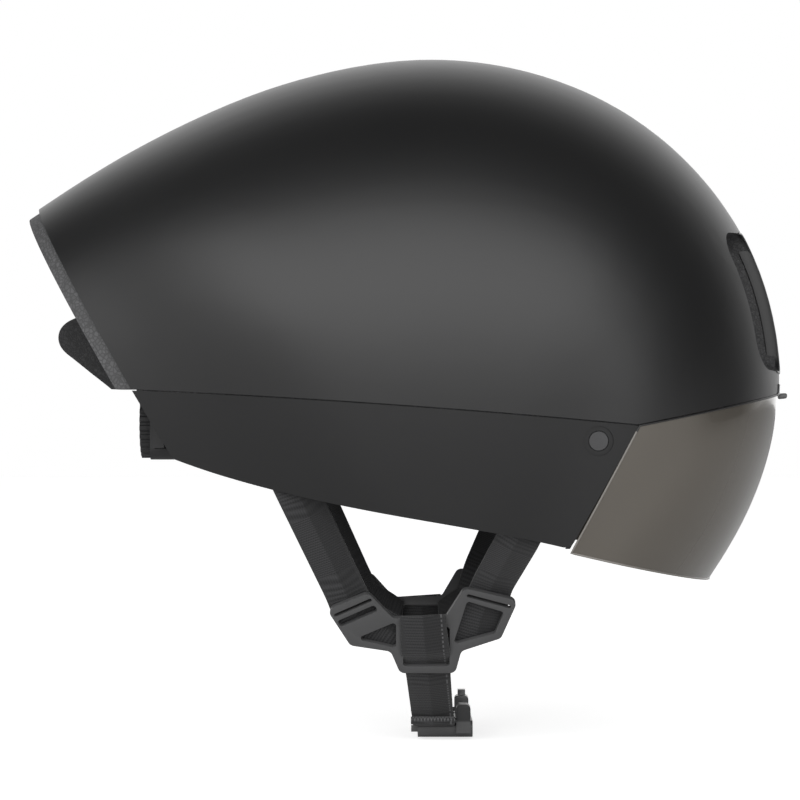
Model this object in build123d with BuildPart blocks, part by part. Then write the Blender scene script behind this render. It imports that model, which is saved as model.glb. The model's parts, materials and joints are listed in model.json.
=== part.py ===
from build123d import *
import os
from math import atan2, cos, hypot, pi, radians, sin, sqrt

os.makedirs("parts", exist_ok=True)

# Millimetres. +X is the way the wearer looks, +Y their left, +Z up.
# The origin is the centre of the head at the level of the ears.

# Head that the helmet is made for
head_length = 195.0
head_width = 155.0
head_crown = 92.5
pad_room = 5.0

# Foam and shell
foam_front = 24.7
foam_side = 18.3
foam_crown = 25.7
skin_wall = 1.4
tail_reach = 170.0
visor_wall = 2.2
seam_gap = 0.5
seat_gap = 0.3
rim_depth = 5.4
overrun = 20.0

shell_front = head_length / 2 + pad_room + foam_front + skin_wall
shell_half = head_width / 2 + pad_room + foam_side + skin_wall
crown_height = head_crown + pad_room + foam_crown + skin_wall

# The outer surface: arches on planes that fan out from a line under the chin.
# Each row has the arch's top in the side view, its half width and the radius at its widest.
fan_share = 0.965
base_share = 0.24
arch_power = 2.05
drawn_in_share = 0.45
arch_shares = (
    (0.654, -0.788, 0.676, 0.289),
    (0.785, -0.650, 0.730, 0.338),
    (0.879, -0.489, 0.775, 0.402),
    (0.941, -0.344, 0.804, 0.482),
    (0.981, -0.199, 0.828, 0.563),
    (1.000, -0.055, 0.848, 0.643),
    (0.981, 0.170, 0.873, 0.740),
    (0.919, 0.370, 0.902, 0.844),
    (0.732, 0.656, 0.946, 0.981),
    (0.483, 0.855, 0.985, 1.045),
    (0.171, 0.974, 1.000, 1.053),
    (-0.082, 1.000, 1.000, 1.053),
    (-0.294, 0.961, 0.995, 1.061),
    (-0.435, 0.907, 0.985, 1.077),
    (-0.624, 0.801, 0.951, 1.109),
    (-0.812, 0.666, 0.863, 1.093),
    (-1.000, 0.502, 0.745, 1.045),
    (-1.176, 0.338, 0.647, 1.029),
    (-1.324, 0.161, 0.569, 1.013),
)


def side(x_share, z_share):
    """A point of the side view, from shares of the helmet's reach and height."""
    reach = shell_front if x_share > 0 else tail_reach
    return (x_share * reach, z_share * crown_height)


def power(value, exponent):
    return abs(value) ** exponent


def arch_points(half, widest, top, base):
    """Right half of one arch, from its foot to its top: (across, outwards)."""
    steps = 10
    points = []
    for share in (1.0, 0.5):
        out = widest - (widest - base) * share
        drawn = drawn_in_share * ((widest - out) / widest) ** 2
        points.append((half * (1 - drawn), out))
    for step in range(steps + 1):
        turn = pi / 2 * step / steps
        across = half * power(cos(turn), 2 / arch_power)
        points.append((across, widest + (top - widest) * power(sin(turn), 2 / arch_power)))
    return points


def helmet_body(inset):
    """The closed outer form, drawn in all round by inset."""
    drop = fan_share * crown_height
    tops = [side(row[0], row[1]) for row in arch_shares]
    arches = []
    for place, (x_share, z_share, half_share, widest_share) in enumerate(arch_shares):
        before = tops[max(0, place - 1)]
        after = tops[min(len(tops) - 1, place + 1)]
        x, z = tops[place]
        turn = atan2(z + drop, x)
        run = hypot(after[0] - before[0], after[1] - before[1])
        facing = abs((before[0] - after[0]) * sin(turn) + (after[1] - before[1]) * cos(turn)) / run
        top = hypot(x, z + drop) - inset / facing
        plane = Plane(origin=(0, 0, -drop), x_dir=(0, 1, 0), z_dir=(sin(turn), 0, -cos(turn)))
        points = arch_points(
            half_share * shell_half - inset,
            widest_share * crown_height,
            top,
            base_share * crown_height - inset,
        )
        points += [(-across, out) for across, out in reversed(points[:-1])]
        with BuildSketch(plane) as arch:
            with BuildLine():
                Spline(*points)
                Line(points[-1], points[0])
            make_face()
        arches.append(arch.sketch)
    with BuildPart() as form:
        loft(arches)
    return form.part


outer_form = helmet_body(0)
skin_form = helmet_body(skin_wall)

# Side-view lines shared by the shell, the ear panels, the visor and the foam
seam_rear = side(-0.726, -0.056)
seam_corner = side(0.514, -0.161)
seam_front = side(1.000, -0.064)
seam_bow_share = 0.010
tail_top = side(-0.971, 0.518)


def tail_point(height, out):
    """A point of the slanted tail line at a height, moved outwards by out."""
    run = (tail_top[0] - seam_rear[0]) / (tail_top[1] - seam_rear[1])
    slant = hypot(run, 1)
    return (seam_rear[0] + (height - seam_rear[1]) * run - out * slant, height)


def seam_line(shift):
    """Line between shell and ear panel, rear to front, moved up by shift."""
    middle = ((seam_rear[0] + seam_corner[0]) / 2, (seam_rear[1] + seam_corner[1]) / 2)
    bow = seam_bow_share * crown_height
    Spline(
        tail_point(seam_rear[1] + shift, 0),
        (middle[0], middle[1] + bow + shift),
        (seam_corner[0], seam_corner[1] + shift),
    )


# Rooms of the head and of the pads, measured from the head: a dome with straight sides below it
room_drop_share = 1.3
room_turn = 37.0

with BuildPart() as unit_room:
    with BuildSketch(Plane.XZ) as room_profile:
        with BuildLine():
            RadiusArc((0, 1), (1, 0), 1)
            Polyline((1, 0), (1, -room_drop_share), (0, -room_drop_share), (0, 1))
        make_face()
    revolve(axis=Axis.Z)
turned_room = Rotation(0, 0, room_turn) * unit_room.part


def head_form(grow):
    """The head's room, grown all round."""
    return scale(turned_room, by=(head_length / 2 + grow, head_width / 2 + grow, head_crown + grow))


shell_sky = crown_height + overrun
shell_ahead = shell_front + overrun
shell_beside = shell_half + overrun
shell_edge = (seam_front[0], seam_front[1] + seam_gap / 2)
shell_corner = (seam_corner[0], seam_corner[1] + seam_gap / 2)

# Front vents, one each side of the middle rib
vent_rib = 12.0
vent_width = 49.6
vent_height = 61.3
vent_low = -3.5
vent_round = 10.0
vent_inner_width = 28.0
vent_inner_height = 40.0
vent_inner_low = 10.0
vent_deep = 62.0

with BuildPart() as vent_channels:
    for sign in (-1, 1):
        with BuildSketch(Plane.YZ.offset(shell_ahead)) as vent_mouth:
            with Locations((sign * (vent_rib + vent_width) / 2, vent_low + vent_height / 2)):
                RectangleRounded(vent_width, vent_height, vent_round)
        with BuildSketch(Plane.YZ.offset(vent_deep)) as vent_throat:
            with Locations((sign * (vent_rib + vent_width) / 2, vent_inner_low + vent_inner_height / 2)):
                RectangleRounded(vent_inner_width, vent_inner_height, vent_round)
        loft()

# Dock under the shell's front edge, with the lip that shows below the shell
dock_half = 9.0
dock_depth = 11.0
dock_drop = 11.0
lip_half = 25.0
lip_high = 2.8
lip_proud = 0.3
lens_under = visor_wall + seat_gap
magnet_wall = 1.6
magnet_radius = 4.0
dock_under = lens_under + magnet_wall + seat_gap
dock_inset = lens_under + magnet_wall + 2 * seat_gap
dock_top = shell_edge[1] + lip_high - seam_gap / 2
dock_form = helmet_body(dock_under)
lip_form = helmet_body(-lip_proud)

with BuildPart() as brow_block:
    with BuildSketch(Plane.XZ) as brow_side:
        with Locations((shell_front, dock_top)):
            Rectangle(dock_depth + dock_depth, dock_drop + lip_high, align=(Align.MAX, Align.MAX))
    extrude(amount=dock_half, both=True)
    add(dock_form, mode=Mode.INTERSECT)
with BuildPart() as lip_block:
    with BuildSketch(Plane.XZ) as lip_side:
        with Locations((shell_front + lip_proud, dock_top)):
            Rectangle(dock_depth, lip_high, align=(Align.MAX, Align.MAX))
    extrude(amount=lip_half, both=True)
    add(lip_form, mode=Mode.INTERSECT)
with BuildPart() as lip_notch:
    with BuildSketch(Plane.XZ) as notch_side:
        with Locations((shell_ahead, dock_top + seat_gap)):
            Rectangle(shell_ahead - shell_front + dock_depth, lip_high + overrun, align=(Align.MAX, Align.MAX))
    extrude(amount=lip_half + seat_gap, both=True)

with BuildPart() as outer_shell:
    with BuildSketch(Plane.XZ) as shell_side:
        with BuildLine():
            seam_line(seam_gap / 2)
            Polyline(
                shell_corner,
                shell_edge,
                (shell_ahead, shell_edge[1]),
                (shell_ahead, shell_sky),
                tail_point(shell_sky, 0),
                tail_point(seam_rear[1] + seam_gap / 2, 0),
            )
        make_face()
    extrude(amount=shell_beside, both=True)
    add(outer_form, mode=Mode.INTERSECT)
    add(skin_form, mode=Mode.SUBTRACT)
    add(vent_channels.part, mode=Mode.SUBTRACT)
    add(lip_notch.part, mode=Mode.SUBTRACT)
outer_shell.part.label = "outer_shell"
export_step(outer_shell.part, "parts/outer_shell.step")

# Ear panels: skins below the seam, with their front edge turned in beside the visor
panel_low_rear = side(-0.635, -0.265)
panel_low_second = side(-0.414, -0.356)
panel_low_third = side(-0.076, -0.446)
panel_low_front = side(0.320, -0.531)
panel_round = 4.0
return_width = 1.6
return_depth = 5.0
stud_place = side(0.398, -0.208)
stud_radius = 3.5
stud_gap = 0.3
stud_depth = 6.0
stud_sink = 0.2
dimple_radius = 5.6
dimple_depth = 0.5


def y_cylinder(place, radius):
    """A long round bar along Y through a place of the side view."""
    with BuildPart() as bar:
        with BuildSketch(Plane.XZ) as bar_end:
            with Locations(place):
                Circle(radius)
        extrude(amount=shell_beside, both=True)
    return bar.part


return_form = helmet_body(return_depth)
dimple_form = helmet_body(dimple_depth)
stud_top_form = helmet_body(stud_sink)
stud_foot_form = helmet_body(stud_depth)
dimple_bar = y_cylinder(stud_place, dimple_radius)
stud_bar = y_cylinder(stud_place, stud_radius)
stud_hole_bar = y_cylinder(stud_place, stud_radius + stud_gap)

with BuildPart() as panel_return:
    with BuildSketch(Plane.XZ) as return_side:
        with BuildLine():
            Polyline(
                (seam_corner[0], seam_corner[1] - seam_gap / 2),
                panel_low_front,
                (panel_low_front[0] - return_width, panel_low_front[1]),
                (seam_corner[0] - return_width, seam_corner[1] - seam_gap / 2),
                close=True,
            )
        make_face()
    extrude(amount=shell_beside)
    add(skin_form, mode=Mode.INTERSECT)
    add(return_form, mode=Mode.SUBTRACT)

with BuildPart() as dimple:
    add(dimple_bar)
    add(dimple_form, mode=Mode.SUBTRACT)

with BuildPart() as ear_panel_right:
    with BuildSketch(Plane.XZ) as panel_side:
        with BuildLine():
            seam_line(-seam_gap / 2)
            Line((seam_corner[0], seam_corner[1] - seam_gap / 2), panel_low_front)
            Spline(panel_low_front, panel_low_third, panel_low_second, panel_low_rear)
            Line(panel_low_rear, tail_point(seam_rear[1] - seam_gap / 2, 0))
        make_face()
        fillet(panel_side.vertices().sort_by(Axis.Y)[0], panel_round)
        fillet(panel_side.vertices().sort_by(Axis.X)[1], panel_round)
    extrude(amount=shell_beside)
    add(outer_form, mode=Mode.INTERSECT)
    add(skin_form, mode=Mode.SUBTRACT)
    add(panel_return.part)
    add(dimple.part, mode=Mode.SUBTRACT)
    add(stud_hole_bar, mode=Mode.SUBTRACT)
ear_panel_right.part.label = "ear_panel_right"
export_step(ear_panel_right.part, "parts/ear_panel_right.step")

with BuildPart() as ear_panel_left:
    mirror(ear_panel_right.part, about=Plane.XZ)
ear_panel_left.part.label = "ear_panel_left"
export_step(ear_panel_left.part, "parts/ear_panel_left.step")

with BuildPart() as panel_studs:
    add(stud_bar)
    add(stud_top_form, mode=Mode.INTERSECT)
    add(stud_foot_form, mode=Mode.SUBTRACT)
panel_studs.part.label = "panel_studs"
export_step(panel_studs.part, "parts/panel_studs.step")

# Visor: lens, tab and magnets
visor_gap = 0.4
visor_low_drop = 1.5
visor_low_front = side(0.785, -0.652)
tab_half = 6.0
tab_reach = 3.6
tab_wall = 2.2
tab_rise_share = 0.15
magnet_place = side(0.592, -0.225)
magnet_drop = 7.0

visor_rear_high = (seam_corner[0] + visor_gap, seam_corner[1] - seam_gap / 2)
visor_rear_low = (panel_low_front[0] + visor_gap, panel_low_front[1] - visor_low_drop)
visor_front_high = (seam_front[0], seam_front[1] - seam_gap / 2)
visor_slope = (visor_low_front[1] - visor_rear_low[1]) / (visor_low_front[0] - visor_rear_low[0])
visor_low_far = (shell_ahead, visor_low_front[1] + visor_slope * (shell_ahead - visor_low_front[0]))
lens_back_form = helmet_body(visor_wall)

with BuildPart() as visor_lens:
    with BuildSketch(Plane.XZ) as lens_side:
        with BuildLine():
            Polyline(
                visor_rear_high,
                visor_rear_low,
                visor_low_far,
                (shell_ahead, visor_front_high[1]),
                visor_front_high,
                close=True,
            )
        make_face()
    extrude(amount=shell_beside, both=True)
    add(outer_form, mode=Mode.INTERSECT)
    add(lens_back_form, mode=Mode.SUBTRACT)
visor_lens.part.label = "visor_lens"
export_step(visor_lens.part, "parts/visor_lens.step")

with BuildPart() as visor_tab:
    with BuildSketch(Plane.XZ) as tab_side:
        with BuildLine():
            tab_lift = tab_reach * tab_rise_share
            Polyline(
                (shell_front - tab_wall, visor_front_high[1] - seat_gap),
                (shell_front + tab_reach, visor_front_high[1] - seat_gap + tab_lift),
                (shell_front + tab_reach, visor_front_high[1] - seat_gap + tab_lift - tab_wall),
                (shell_front - tab_wall, visor_front_high[1] - seat_gap - tab_wall),
                close=True,
            )
        make_face()
    extrude(amount=tab_half, both=True)
    add(outer_form, mode=Mode.SUBTRACT)
visor_tab.part.label = "visor_tab"
export_step(visor_tab.part, "parts/visor_tab.step")


def x_cylinder(place, radius):
    """A long round bar along X, ahead of a place of the front view."""
    with BuildPart() as bar:
        with BuildSketch(Plane.YZ) as bar_end:
            with Locations(place):
                Circle(radius)
        extrude(amount=shell_ahead)
    return bar.part


side_bar = y_cylinder(magnet_place, magnet_radius)
front_bar = x_cylinder((0, visor_front_high[1] - magnet_drop), magnet_radius)


def magnet_set(outer, inner):
    """Three discs behind the lens, between two insets: one in front, one each side."""
    outer_side = helmet_body(outer)
    inner_side = helmet_body(inner)
    with BuildPart() as discs:
        add(side_bar)
        add(front_bar)
        add(outer_side, mode=Mode.INTERSECT)
        add(inner_side, mode=Mode.SUBTRACT)
    return discs.part


visor_discs = magnet_set(lens_under, lens_under + magnet_wall)
dock_discs = magnet_set(dock_inset, dock_inset + magnet_wall)
dock_pockets = magnet_set(dock_under, dock_inset + magnet_wall)

with BuildPart() as visor_magnets:
    add(visor_discs)
visor_magnets.part.label = "visor_magnets"
export_step(visor_magnets.part, "parts/visor_magnets.step")

# Docks behind the visor, with a magnet in each
side_dock_half = 9.0
side_dock_low = 13.0
side_dock_high = 10.0
side_dock_deep = 5.0
side_dock_back_form = helmet_body(dock_under + side_dock_deep)

with BuildPart() as dock_magnets:
    add(dock_discs)
dock_magnets.part.label = "dock_magnets"
export_step(dock_magnets.part, "parts/dock_magnets.step")

with BuildPart() as brow_dock:
    add(brow_block.part)
    add(lip_block.part)
    add(dock_pockets, mode=Mode.SUBTRACT)
brow_dock.part.label = "brow_dock"
export_step(brow_dock.part, "parts/brow_dock.step")

with BuildPart() as side_dock_right:
    with BuildSketch(Plane.XZ) as dock_side:
        with BuildLine():
            Polyline(
                (magnet_place[0] - side_dock_half, magnet_place[1] - side_dock_low / 2),
                (magnet_place[0] - side_dock_half / 2, magnet_place[1] - side_dock_low),
                (magnet_place[0] + side_dock_half / 2, magnet_place[1] - side_dock_low),
                (magnet_place[0] + side_dock_half, magnet_place[1] - side_dock_low / 2),
                (magnet_place[0] + side_dock_half, magnet_place[1] + side_dock_high + seam_gap),
                (magnet_place[0] - side_dock_half, magnet_place[1] + side_dock_high),
                close=True,
            )
        make_face()
    extrude(amount=shell_beside)
    add(dock_form, mode=Mode.INTERSECT)
    add(side_dock_back_form, mode=Mode.SUBTRACT)
    add(dock_pockets, mode=Mode.SUBTRACT)
side_dock_right.part.label = "side_dock_right"
export_step(side_dock_right.part, "parts/side_dock_right.step")

with BuildPart() as side_dock_left:
    mirror(side_dock_right.part, about=Plane.XZ)
side_dock_left.part.label = "side_dock_left"
export_step(side_dock_left.part, "parts/side_dock_left.step")

# Tail diffuser under the exhaust ports
diffuser_half = 24.0
diffuser_round = 4.0
rim_bottom_share = -0.053
diffuser_shares = (
    (-0.753, 0.177),
    (-0.859, 0.177),
    (-0.888, 0.165),
    (-0.913, 0.134),
    (-0.917, 0.103),
    (-0.910, 0.077),
    (-0.885, 0.045),
    (-0.843, -0.001),
    (-0.795, rim_bottom_share),
    (-0.753, rim_bottom_share),
)
rim_bottom = rim_bottom_share * crown_height

with BuildPart() as tail_diffuser:
    with BuildSketch(Plane.XZ) as diffuser_side:
        with BuildLine():
            corners = [side(x_share, z_share) for x_share, z_share in diffuser_shares]
            Polyline(corners[9], corners[0], corners[1])
            Spline(*corners[1:9])
            Line(corners[8], corners[9])
        make_face()
    extrude(amount=diffuser_half, both=True)
tail_diffuser.part.label = "tail_diffuser"
export_step(tail_diffuser.part, "parts/tail_diffuser.step")

# Pads between the head and the foam
pad_wall = 4.3
brow_pad_half = 50.0
brow_pad_low = -12.0
brow_pad_high = 3.0
crown_pad_half = 9.0
crown_pad_reach = 52.0
crown_side_near = 27.0
crown_side_far = 45.0
crown_side_reach = 46.0
side_pad_rear = -32.0
side_pad_front = 22.0
side_pad_low = 12.0
side_pad_high = 34.0
pad_outer = head_form(pad_room - seat_gap)
pad_inner = head_form(pad_room - pad_wall)


def pad(low_corner, high_corner):
    """The part of the room beside the head that lies in a box."""
    size = [high - low for low, high in zip(low_corner, high_corner)]
    middle = [(high + low) / 2 for low, high in zip(low_corner, high_corner)]
    with BuildPart() as cushion:
        with Locations(tuple(middle)):
            Box(*size)
        add(pad_outer, mode=Mode.INTERSECT)
        add(pad_inner, mode=Mode.SUBTRACT)
    return cushion.part


brow_cushion = pad((0, -brow_pad_half, brow_pad_low), (shell_front, brow_pad_half, brow_pad_high))
centre_cushion = pad((-crown_pad_reach, -crown_pad_half, 0), (crown_pad_reach, crown_pad_half, crown_height))
crown_side_low = (-crown_side_reach, -crown_side_far, 0)
crown_side_high = (crown_side_reach, -crown_side_near, crown_height)
crown_cushion = pad(crown_side_low, crown_side_high)
side_cushion = pad((side_pad_rear, -shell_half, side_pad_low), (side_pad_front, 0, side_pad_high))

with BuildPart() as brow_pad:
    add(brow_cushion)
brow_pad.part.label = "brow_pad"
export_step(brow_pad.part, "parts/brow_pad.step")

with BuildPart() as crown_pad_centre:
    add(centre_cushion)
crown_pad_centre.part.label = "crown_pad_centre"
export_step(crown_pad_centre.part, "parts/crown_pad_centre.step")

with BuildPart() as crown_pad_right:
    add(crown_cushion)
crown_pad_right.part.label = "crown_pad_right"
export_step(crown_pad_right.part, "parts/crown_pad_right.step")

with BuildPart() as crown_pad_left:
    mirror(crown_pad_right.part, about=Plane.XZ)
crown_pad_left.part.label = "crown_pad_left"
export_step(crown_pad_left.part, "parts/crown_pad_left.step")

with BuildPart() as side_pad_right:
    add(side_cushion)
side_pad_right.part.label = "side_pad_right"
export_step(side_pad_right.part, "parts/side_pad_right.step")

with BuildPart() as side_pad_left:
    mirror(side_pad_right.part, about=Plane.XZ)
side_pad_left.part.label = "side_pad_left"
export_step(side_pad_left.part, "parts/side_pad_left.step")

# Temple pivots of the fit band
pivot_x = 40.0
pivot_z = 8.0
pivot_radius = 2.0
pivot_bore_gap = 0.05
pivot_head_radius = 3.2
pivot_head_wall = 1.2
plug_radius = 4.5
plug_depth = 11.0
pocket_radius = 7.4
pocket_depth = 1.2
eye_radius = 6.0
eye_wall = 2.2
eye_gap = 0.4
room_half_length = head_length / 2 + pad_room
room_half_width = head_width / 2 + pad_room
pivot_wall = room_half_width * sqrt(1 - (pivot_x / room_half_length) ** 2) - pocket_depth
pocket_face = pivot_wall + 2 * pocket_depth
eye_outer = pocket_face - eye_gap
eye_inner = eye_outer - eye_wall

with BuildPart() as temple_pivot_right:
    with BuildSketch(Plane.XZ.offset(pocket_face)) as plug_end:
        with Locations((pivot_x, pivot_z)):
            Circle(plug_radius)
    extrude(amount=plug_depth)
    with BuildSketch(Plane.XZ.offset(eye_inner - eye_gap)) as pin_end:
        with Locations((pivot_x, pivot_z)):
            Circle(pivot_radius)
    extrude(amount=eye_wall + 2 * eye_gap)
    with BuildSketch(Plane.XZ.offset(eye_inner - eye_gap)) as pin_head:
        with Locations((pivot_x, pivot_z)):
            Circle(pivot_head_radius)
    extrude(amount=-pivot_head_wall)
temple_pivot_right.part.label = "temple_pivot_right"
export_step(temple_pivot_right.part, "parts/temple_pivot_right.step")

with BuildPart() as temple_pivot_left:
    mirror(temple_pivot_right.part, about=Plane.XZ)
temple_pivot_left.part.label = "temple_pivot_left"
export_step(temple_pivot_left.part, "parts/temple_pivot_left.step")

with BuildPart() as temple_eye_right:
    with BuildSketch(Plane.XZ.offset(eye_inner)) as eye_side:
        with Locations((pivot_x, pivot_z)):
            Circle(eye_radius)
            Circle(pivot_radius + pivot_bore_gap, mode=Mode.SUBTRACT)
    extrude(amount=eye_wall)
temple_eye_right.part.label = "temple_eye_right"
export_step(temple_eye_right.part, "parts/temple_eye_right.step")

with BuildPart() as temple_eye_left:
    mirror(temple_eye_right.part, about=Plane.XZ)
temple_eye_left.part.label = "temple_eye_left"
export_step(temple_eye_left.part, "parts/temple_eye_left.step")

# Fit cradle at the nape: dial, cover, housing, racks and pinion
dial_radius = 13.8
dial_wall = 5.0
dial_notch = 0.9
dial_notches = 24
dial_rim = 3.6
dial_hub_radius = 5.3
dial_dish = 1.2
dial_rear = 125.1
cradle_z = -20.2
cover_wall = 1.8
cradle_half = 27.0
housing_wall = 2.0
housing_low = 14.0
housing_high = 12.5
housing_round = 5.0
channel_half_height = 9.6
rack_wall = 4.2
pitch_radius = 5.0
tooth_count = 10
tooth_rise = 0.5
tooth_root = 0.7
tooth_tip_share = 0.10
tooth_foot_share = 0.19
rack_body = 3.5
rack_tip_run = 6.0
rack_reach = 38.3
rack_tab_wall = 1.0
band_height = 8.0
rack_tooth_tip = 0.7
rack_tooth_foot = 1.3
rack_first = -4
rack_last = 1
shaft_radius = 2.0
shaft_bore_gap = 0.05
shaft_foot = 2.6
screw_radius = 1.1
screw_head_radius = 2.6
screw_head_wall = 1.4
screw_depth = 6.0
nape_pad_wall = 7.0
nape_pad_near = 4.0
nape_pad_far = 25.0
nape_pad_half_height = 10.0

dial_front = -dial_rear + dial_wall
cover_rear = dial_front + seat_gap
cover_front = cover_rear + cover_wall
rack_rear = cover_front + seat_gap
rack_front = rack_rear + rack_wall
channel_floor = rack_front + seat_gap
housing_front = channel_floor + shaft_foot + housing_wall
pitch_step = 2 * pi * pitch_radius / tooth_count


def cradle_plane(x):
    """The plane square to X at x, with its origin on the dial's axis."""
    return Plane(origin=(x, 0, cradle_z), x_dir=(0, 1, 0), z_dir=(1, 0, 0))


with BuildPart() as fit_dial:
    with BuildSketch(cradle_plane(-dial_rear)) as dial_outline:
        Circle(dial_radius)
        with PolarLocations(dial_radius, dial_notches):
            Circle(dial_notch, mode=Mode.SUBTRACT)
    extrude(amount=dial_wall)
    with BuildSketch(cradle_plane(-dial_rear)) as dial_hollow:
        Circle(dial_radius - dial_rim)
        Circle(dial_hub_radius, mode=Mode.SUBTRACT)
    extrude(amount=dial_dish, mode=Mode.SUBTRACT)
    with BuildSketch(cradle_plane(-dial_rear)) as dial_counterbore:
        Circle(screw_head_radius)
    extrude(amount=screw_head_wall, mode=Mode.SUBTRACT)
    with BuildSketch(cradle_plane(dial_front)) as dial_bore:
        Circle(shaft_radius)
    extrude(amount=-(dial_wall / 2), mode=Mode.SUBTRACT)
    with BuildSketch(cradle_plane(-dial_rear)) as dial_screw_hole:
        Circle(screw_radius)
    extrude(amount=dial_wall, mode=Mode.SUBTRACT)
fit_dial.part.label = "fit_dial"
export_step(fit_dial.part, "parts/fit_dial.step")

with BuildPart() as dial_screw:
    with BuildSketch(cradle_plane(-dial_rear)) as screw_top:
        Circle(screw_head_radius)
    extrude(amount=screw_head_wall)
    with BuildSketch(cradle_plane(-dial_rear)) as screw_shank:
        Circle(screw_radius)
    extrude(amount=screw_depth)
dial_screw.part.label = "dial_screw"
export_step(dial_screw.part, "parts/dial_screw.step")

with BuildPart() as dial_pinion:
    with BuildSketch(cradle_plane(rack_rear)) as pinion_outline:
        Circle(pitch_radius - tooth_root)
        with PolarLocations(0, tooth_count):
            with BuildLine():
                Polyline(
                    (0, -pitch_step * tooth_foot_share),
                    (pitch_radius - tooth_root, -pitch_step * tooth_foot_share),
                    (pitch_radius + tooth_rise, -pitch_step * tooth_tip_share),
                    (pitch_radius + tooth_rise, pitch_step * tooth_tip_share),
                    (pitch_radius - tooth_root, pitch_step * tooth_foot_share),
                    (0, pitch_step * tooth_foot_share),
                    close=True,
                )
            make_face()
    extrude(amount=rack_wall)
    with BuildSketch(cradle_plane(dial_front - dial_wall / 2)) as shaft_end:
        Circle(shaft_radius)
    extrude(amount=dial_wall / 2 + channel_floor - dial_front + shaft_foot - seat_gap)
    with BuildSketch(cradle_plane(-dial_rear)) as shaft_hole:
        Circle(screw_radius)
    extrude(amount=screw_depth, mode=Mode.SUBTRACT)
dial_pinion.part.label = "dial_pinion"
export_step(dial_pinion.part, "parts/dial_pinion.step")

# The right rack runs under the pinion, the left rack over it
with BuildPart() as rack_right:
    with BuildSketch(cradle_plane(rack_rear)) as rack_outline:
        with BuildLine():
            rack_top = -(pitch_radius + tooth_root)
            Polyline(
                (-rack_reach, rack_top),
                (rack_tip_run, rack_top),
                (rack_tip_run, rack_top - rack_body),
                (-rack_reach, rack_top - rack_body),
                close=True,
            )
        make_face()
        with Locations((-rack_reach, rack_top)):
            Rectangle(rack_tab_wall, band_height / 2 - rack_top, align=(Align.MIN, Align.MIN))
        for place in range(rack_first, rack_last + 1):
            with BuildLine():
                Polyline(
                    (place * pitch_step - rack_tooth_foot / 2, rack_top),
                    (place * pitch_step - rack_tooth_tip / 2, rack_top + tooth_root + tooth_rise),
                    (place * pitch_step + rack_tooth_tip / 2, rack_top + tooth_root + tooth_rise),
                    (place * pitch_step + rack_tooth_foot / 2, rack_top),
                    close=True,
                )
            make_face()
    extrude(amount=rack_wall)
rack_right.part.label = "rack_right"
export_step(rack_right.part, "parts/rack_right.step")

turned_rack = Pos(0, 0, cradle_z) * Rotation(180, 0, 0) * Pos(0, 0, -cradle_z) * rack_right.part

with BuildPart() as rack_left:
    add(turned_rack)
rack_left.part.label = "rack_left"
export_step(rack_left.part, "parts/rack_left.step")

rack_slot = rack_body + tooth_root + tooth_rise + 2 * seat_gap
rack_slot_run = 8.0

with BuildPart() as cradle_housing:
    with BuildSketch(cradle_plane(cover_front)) as housing_outline:
        with Locations((0, (housing_high - housing_low) / 2)):
            RectangleRounded(2 * cradle_half, housing_high + housing_low, housing_round)
    extrude(amount=housing_front - cover_front)
    with BuildSketch(cradle_plane(cover_front)) as channel_outline:
        Rectangle(2 * (cradle_half - housing_wall), 2 * channel_half_height)
        slot_middle = channel_half_height - rack_slot / 2
        with Locations((-cradle_half, -slot_middle), (cradle_half, slot_middle)):
            Rectangle(rack_slot_run, rack_slot)
    extrude(amount=channel_floor - cover_front, mode=Mode.SUBTRACT)
    with BuildSketch(cradle_plane(cover_front)) as foot_bore:
        Circle(shaft_radius + shaft_bore_gap)
    extrude(amount=channel_floor + shaft_foot - cover_front, mode=Mode.SUBTRACT)
cradle_housing.part.label = "cradle_housing"
export_step(cradle_housing.part, "parts/cradle_housing.step")

with BuildPart() as cradle_cover:
    with BuildSketch(cradle_plane(cover_rear)) as cover_outline:
        with Locations((0, (housing_high - housing_low) / 2)):
            RectangleRounded(2 * cradle_half, housing_high + housing_low, housing_round)
        Circle(shaft_radius + shaft_bore_gap, mode=Mode.SUBTRACT)
    extrude(amount=cover_wall)
cradle_cover.part.label = "cradle_cover"
export_step(cradle_cover.part, "parts/cradle_cover.step")

with BuildPart() as nape_pad_right:
    with BuildSketch(cradle_plane(housing_front)) as nape_outline:
        with Locations((-(nape_pad_near + nape_pad_far) / 2, 0)):
            RectangleRounded(nape_pad_far - nape_pad_near, 2 * nape_pad_half_height, housing_round)
    extrude(amount=nape_pad_wall)
    fillet(nape_pad_right.faces().sort_by(Axis.X)[-1].edges(), nape_pad_wall / 2)
nape_pad_right.part.label = "nape_pad_right"
export_step(nape_pad_right.part, "parts/nape_pad_right.step")

with BuildPart() as nape_pad_left:
    mirror(nape_pad_right.part, about=Plane.XZ)
nape_pad_left.part.label = "nape_pad_left"
export_step(nape_pad_left.part, "parts/nape_pad_left.step")


# Flat bands through stations, for the fit band and the webbing
def ribbon(points, acrosses, width, wall):
    """A flat band: each station is square to the run before and the run after it."""
    sections = []
    last = len(points) - 1
    for place, (point, across) in enumerate(zip(points, acrosses)):
        here = Vector(*point)
        before = here - Vector(*points[max(0, place - 1)])
        after = Vector(*points[min(last, place + 1)]) - here
        along = Vector(0, 0, 0)
        if place > 0:
            along = along + before.normalized()
        if place < last:
            along = along + after.normalized()
        along = along.normalized()
        side_way = Vector(*across)
        side_way = (side_way - along * side_way.dot(along)).normalized()
        with BuildSketch(Plane(origin=here, x_dir=side_way, z_dir=along)) as section:
            Rectangle(width, wall)
        sections.append(section.sketch)
    loft(sections, ruled=True)


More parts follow.
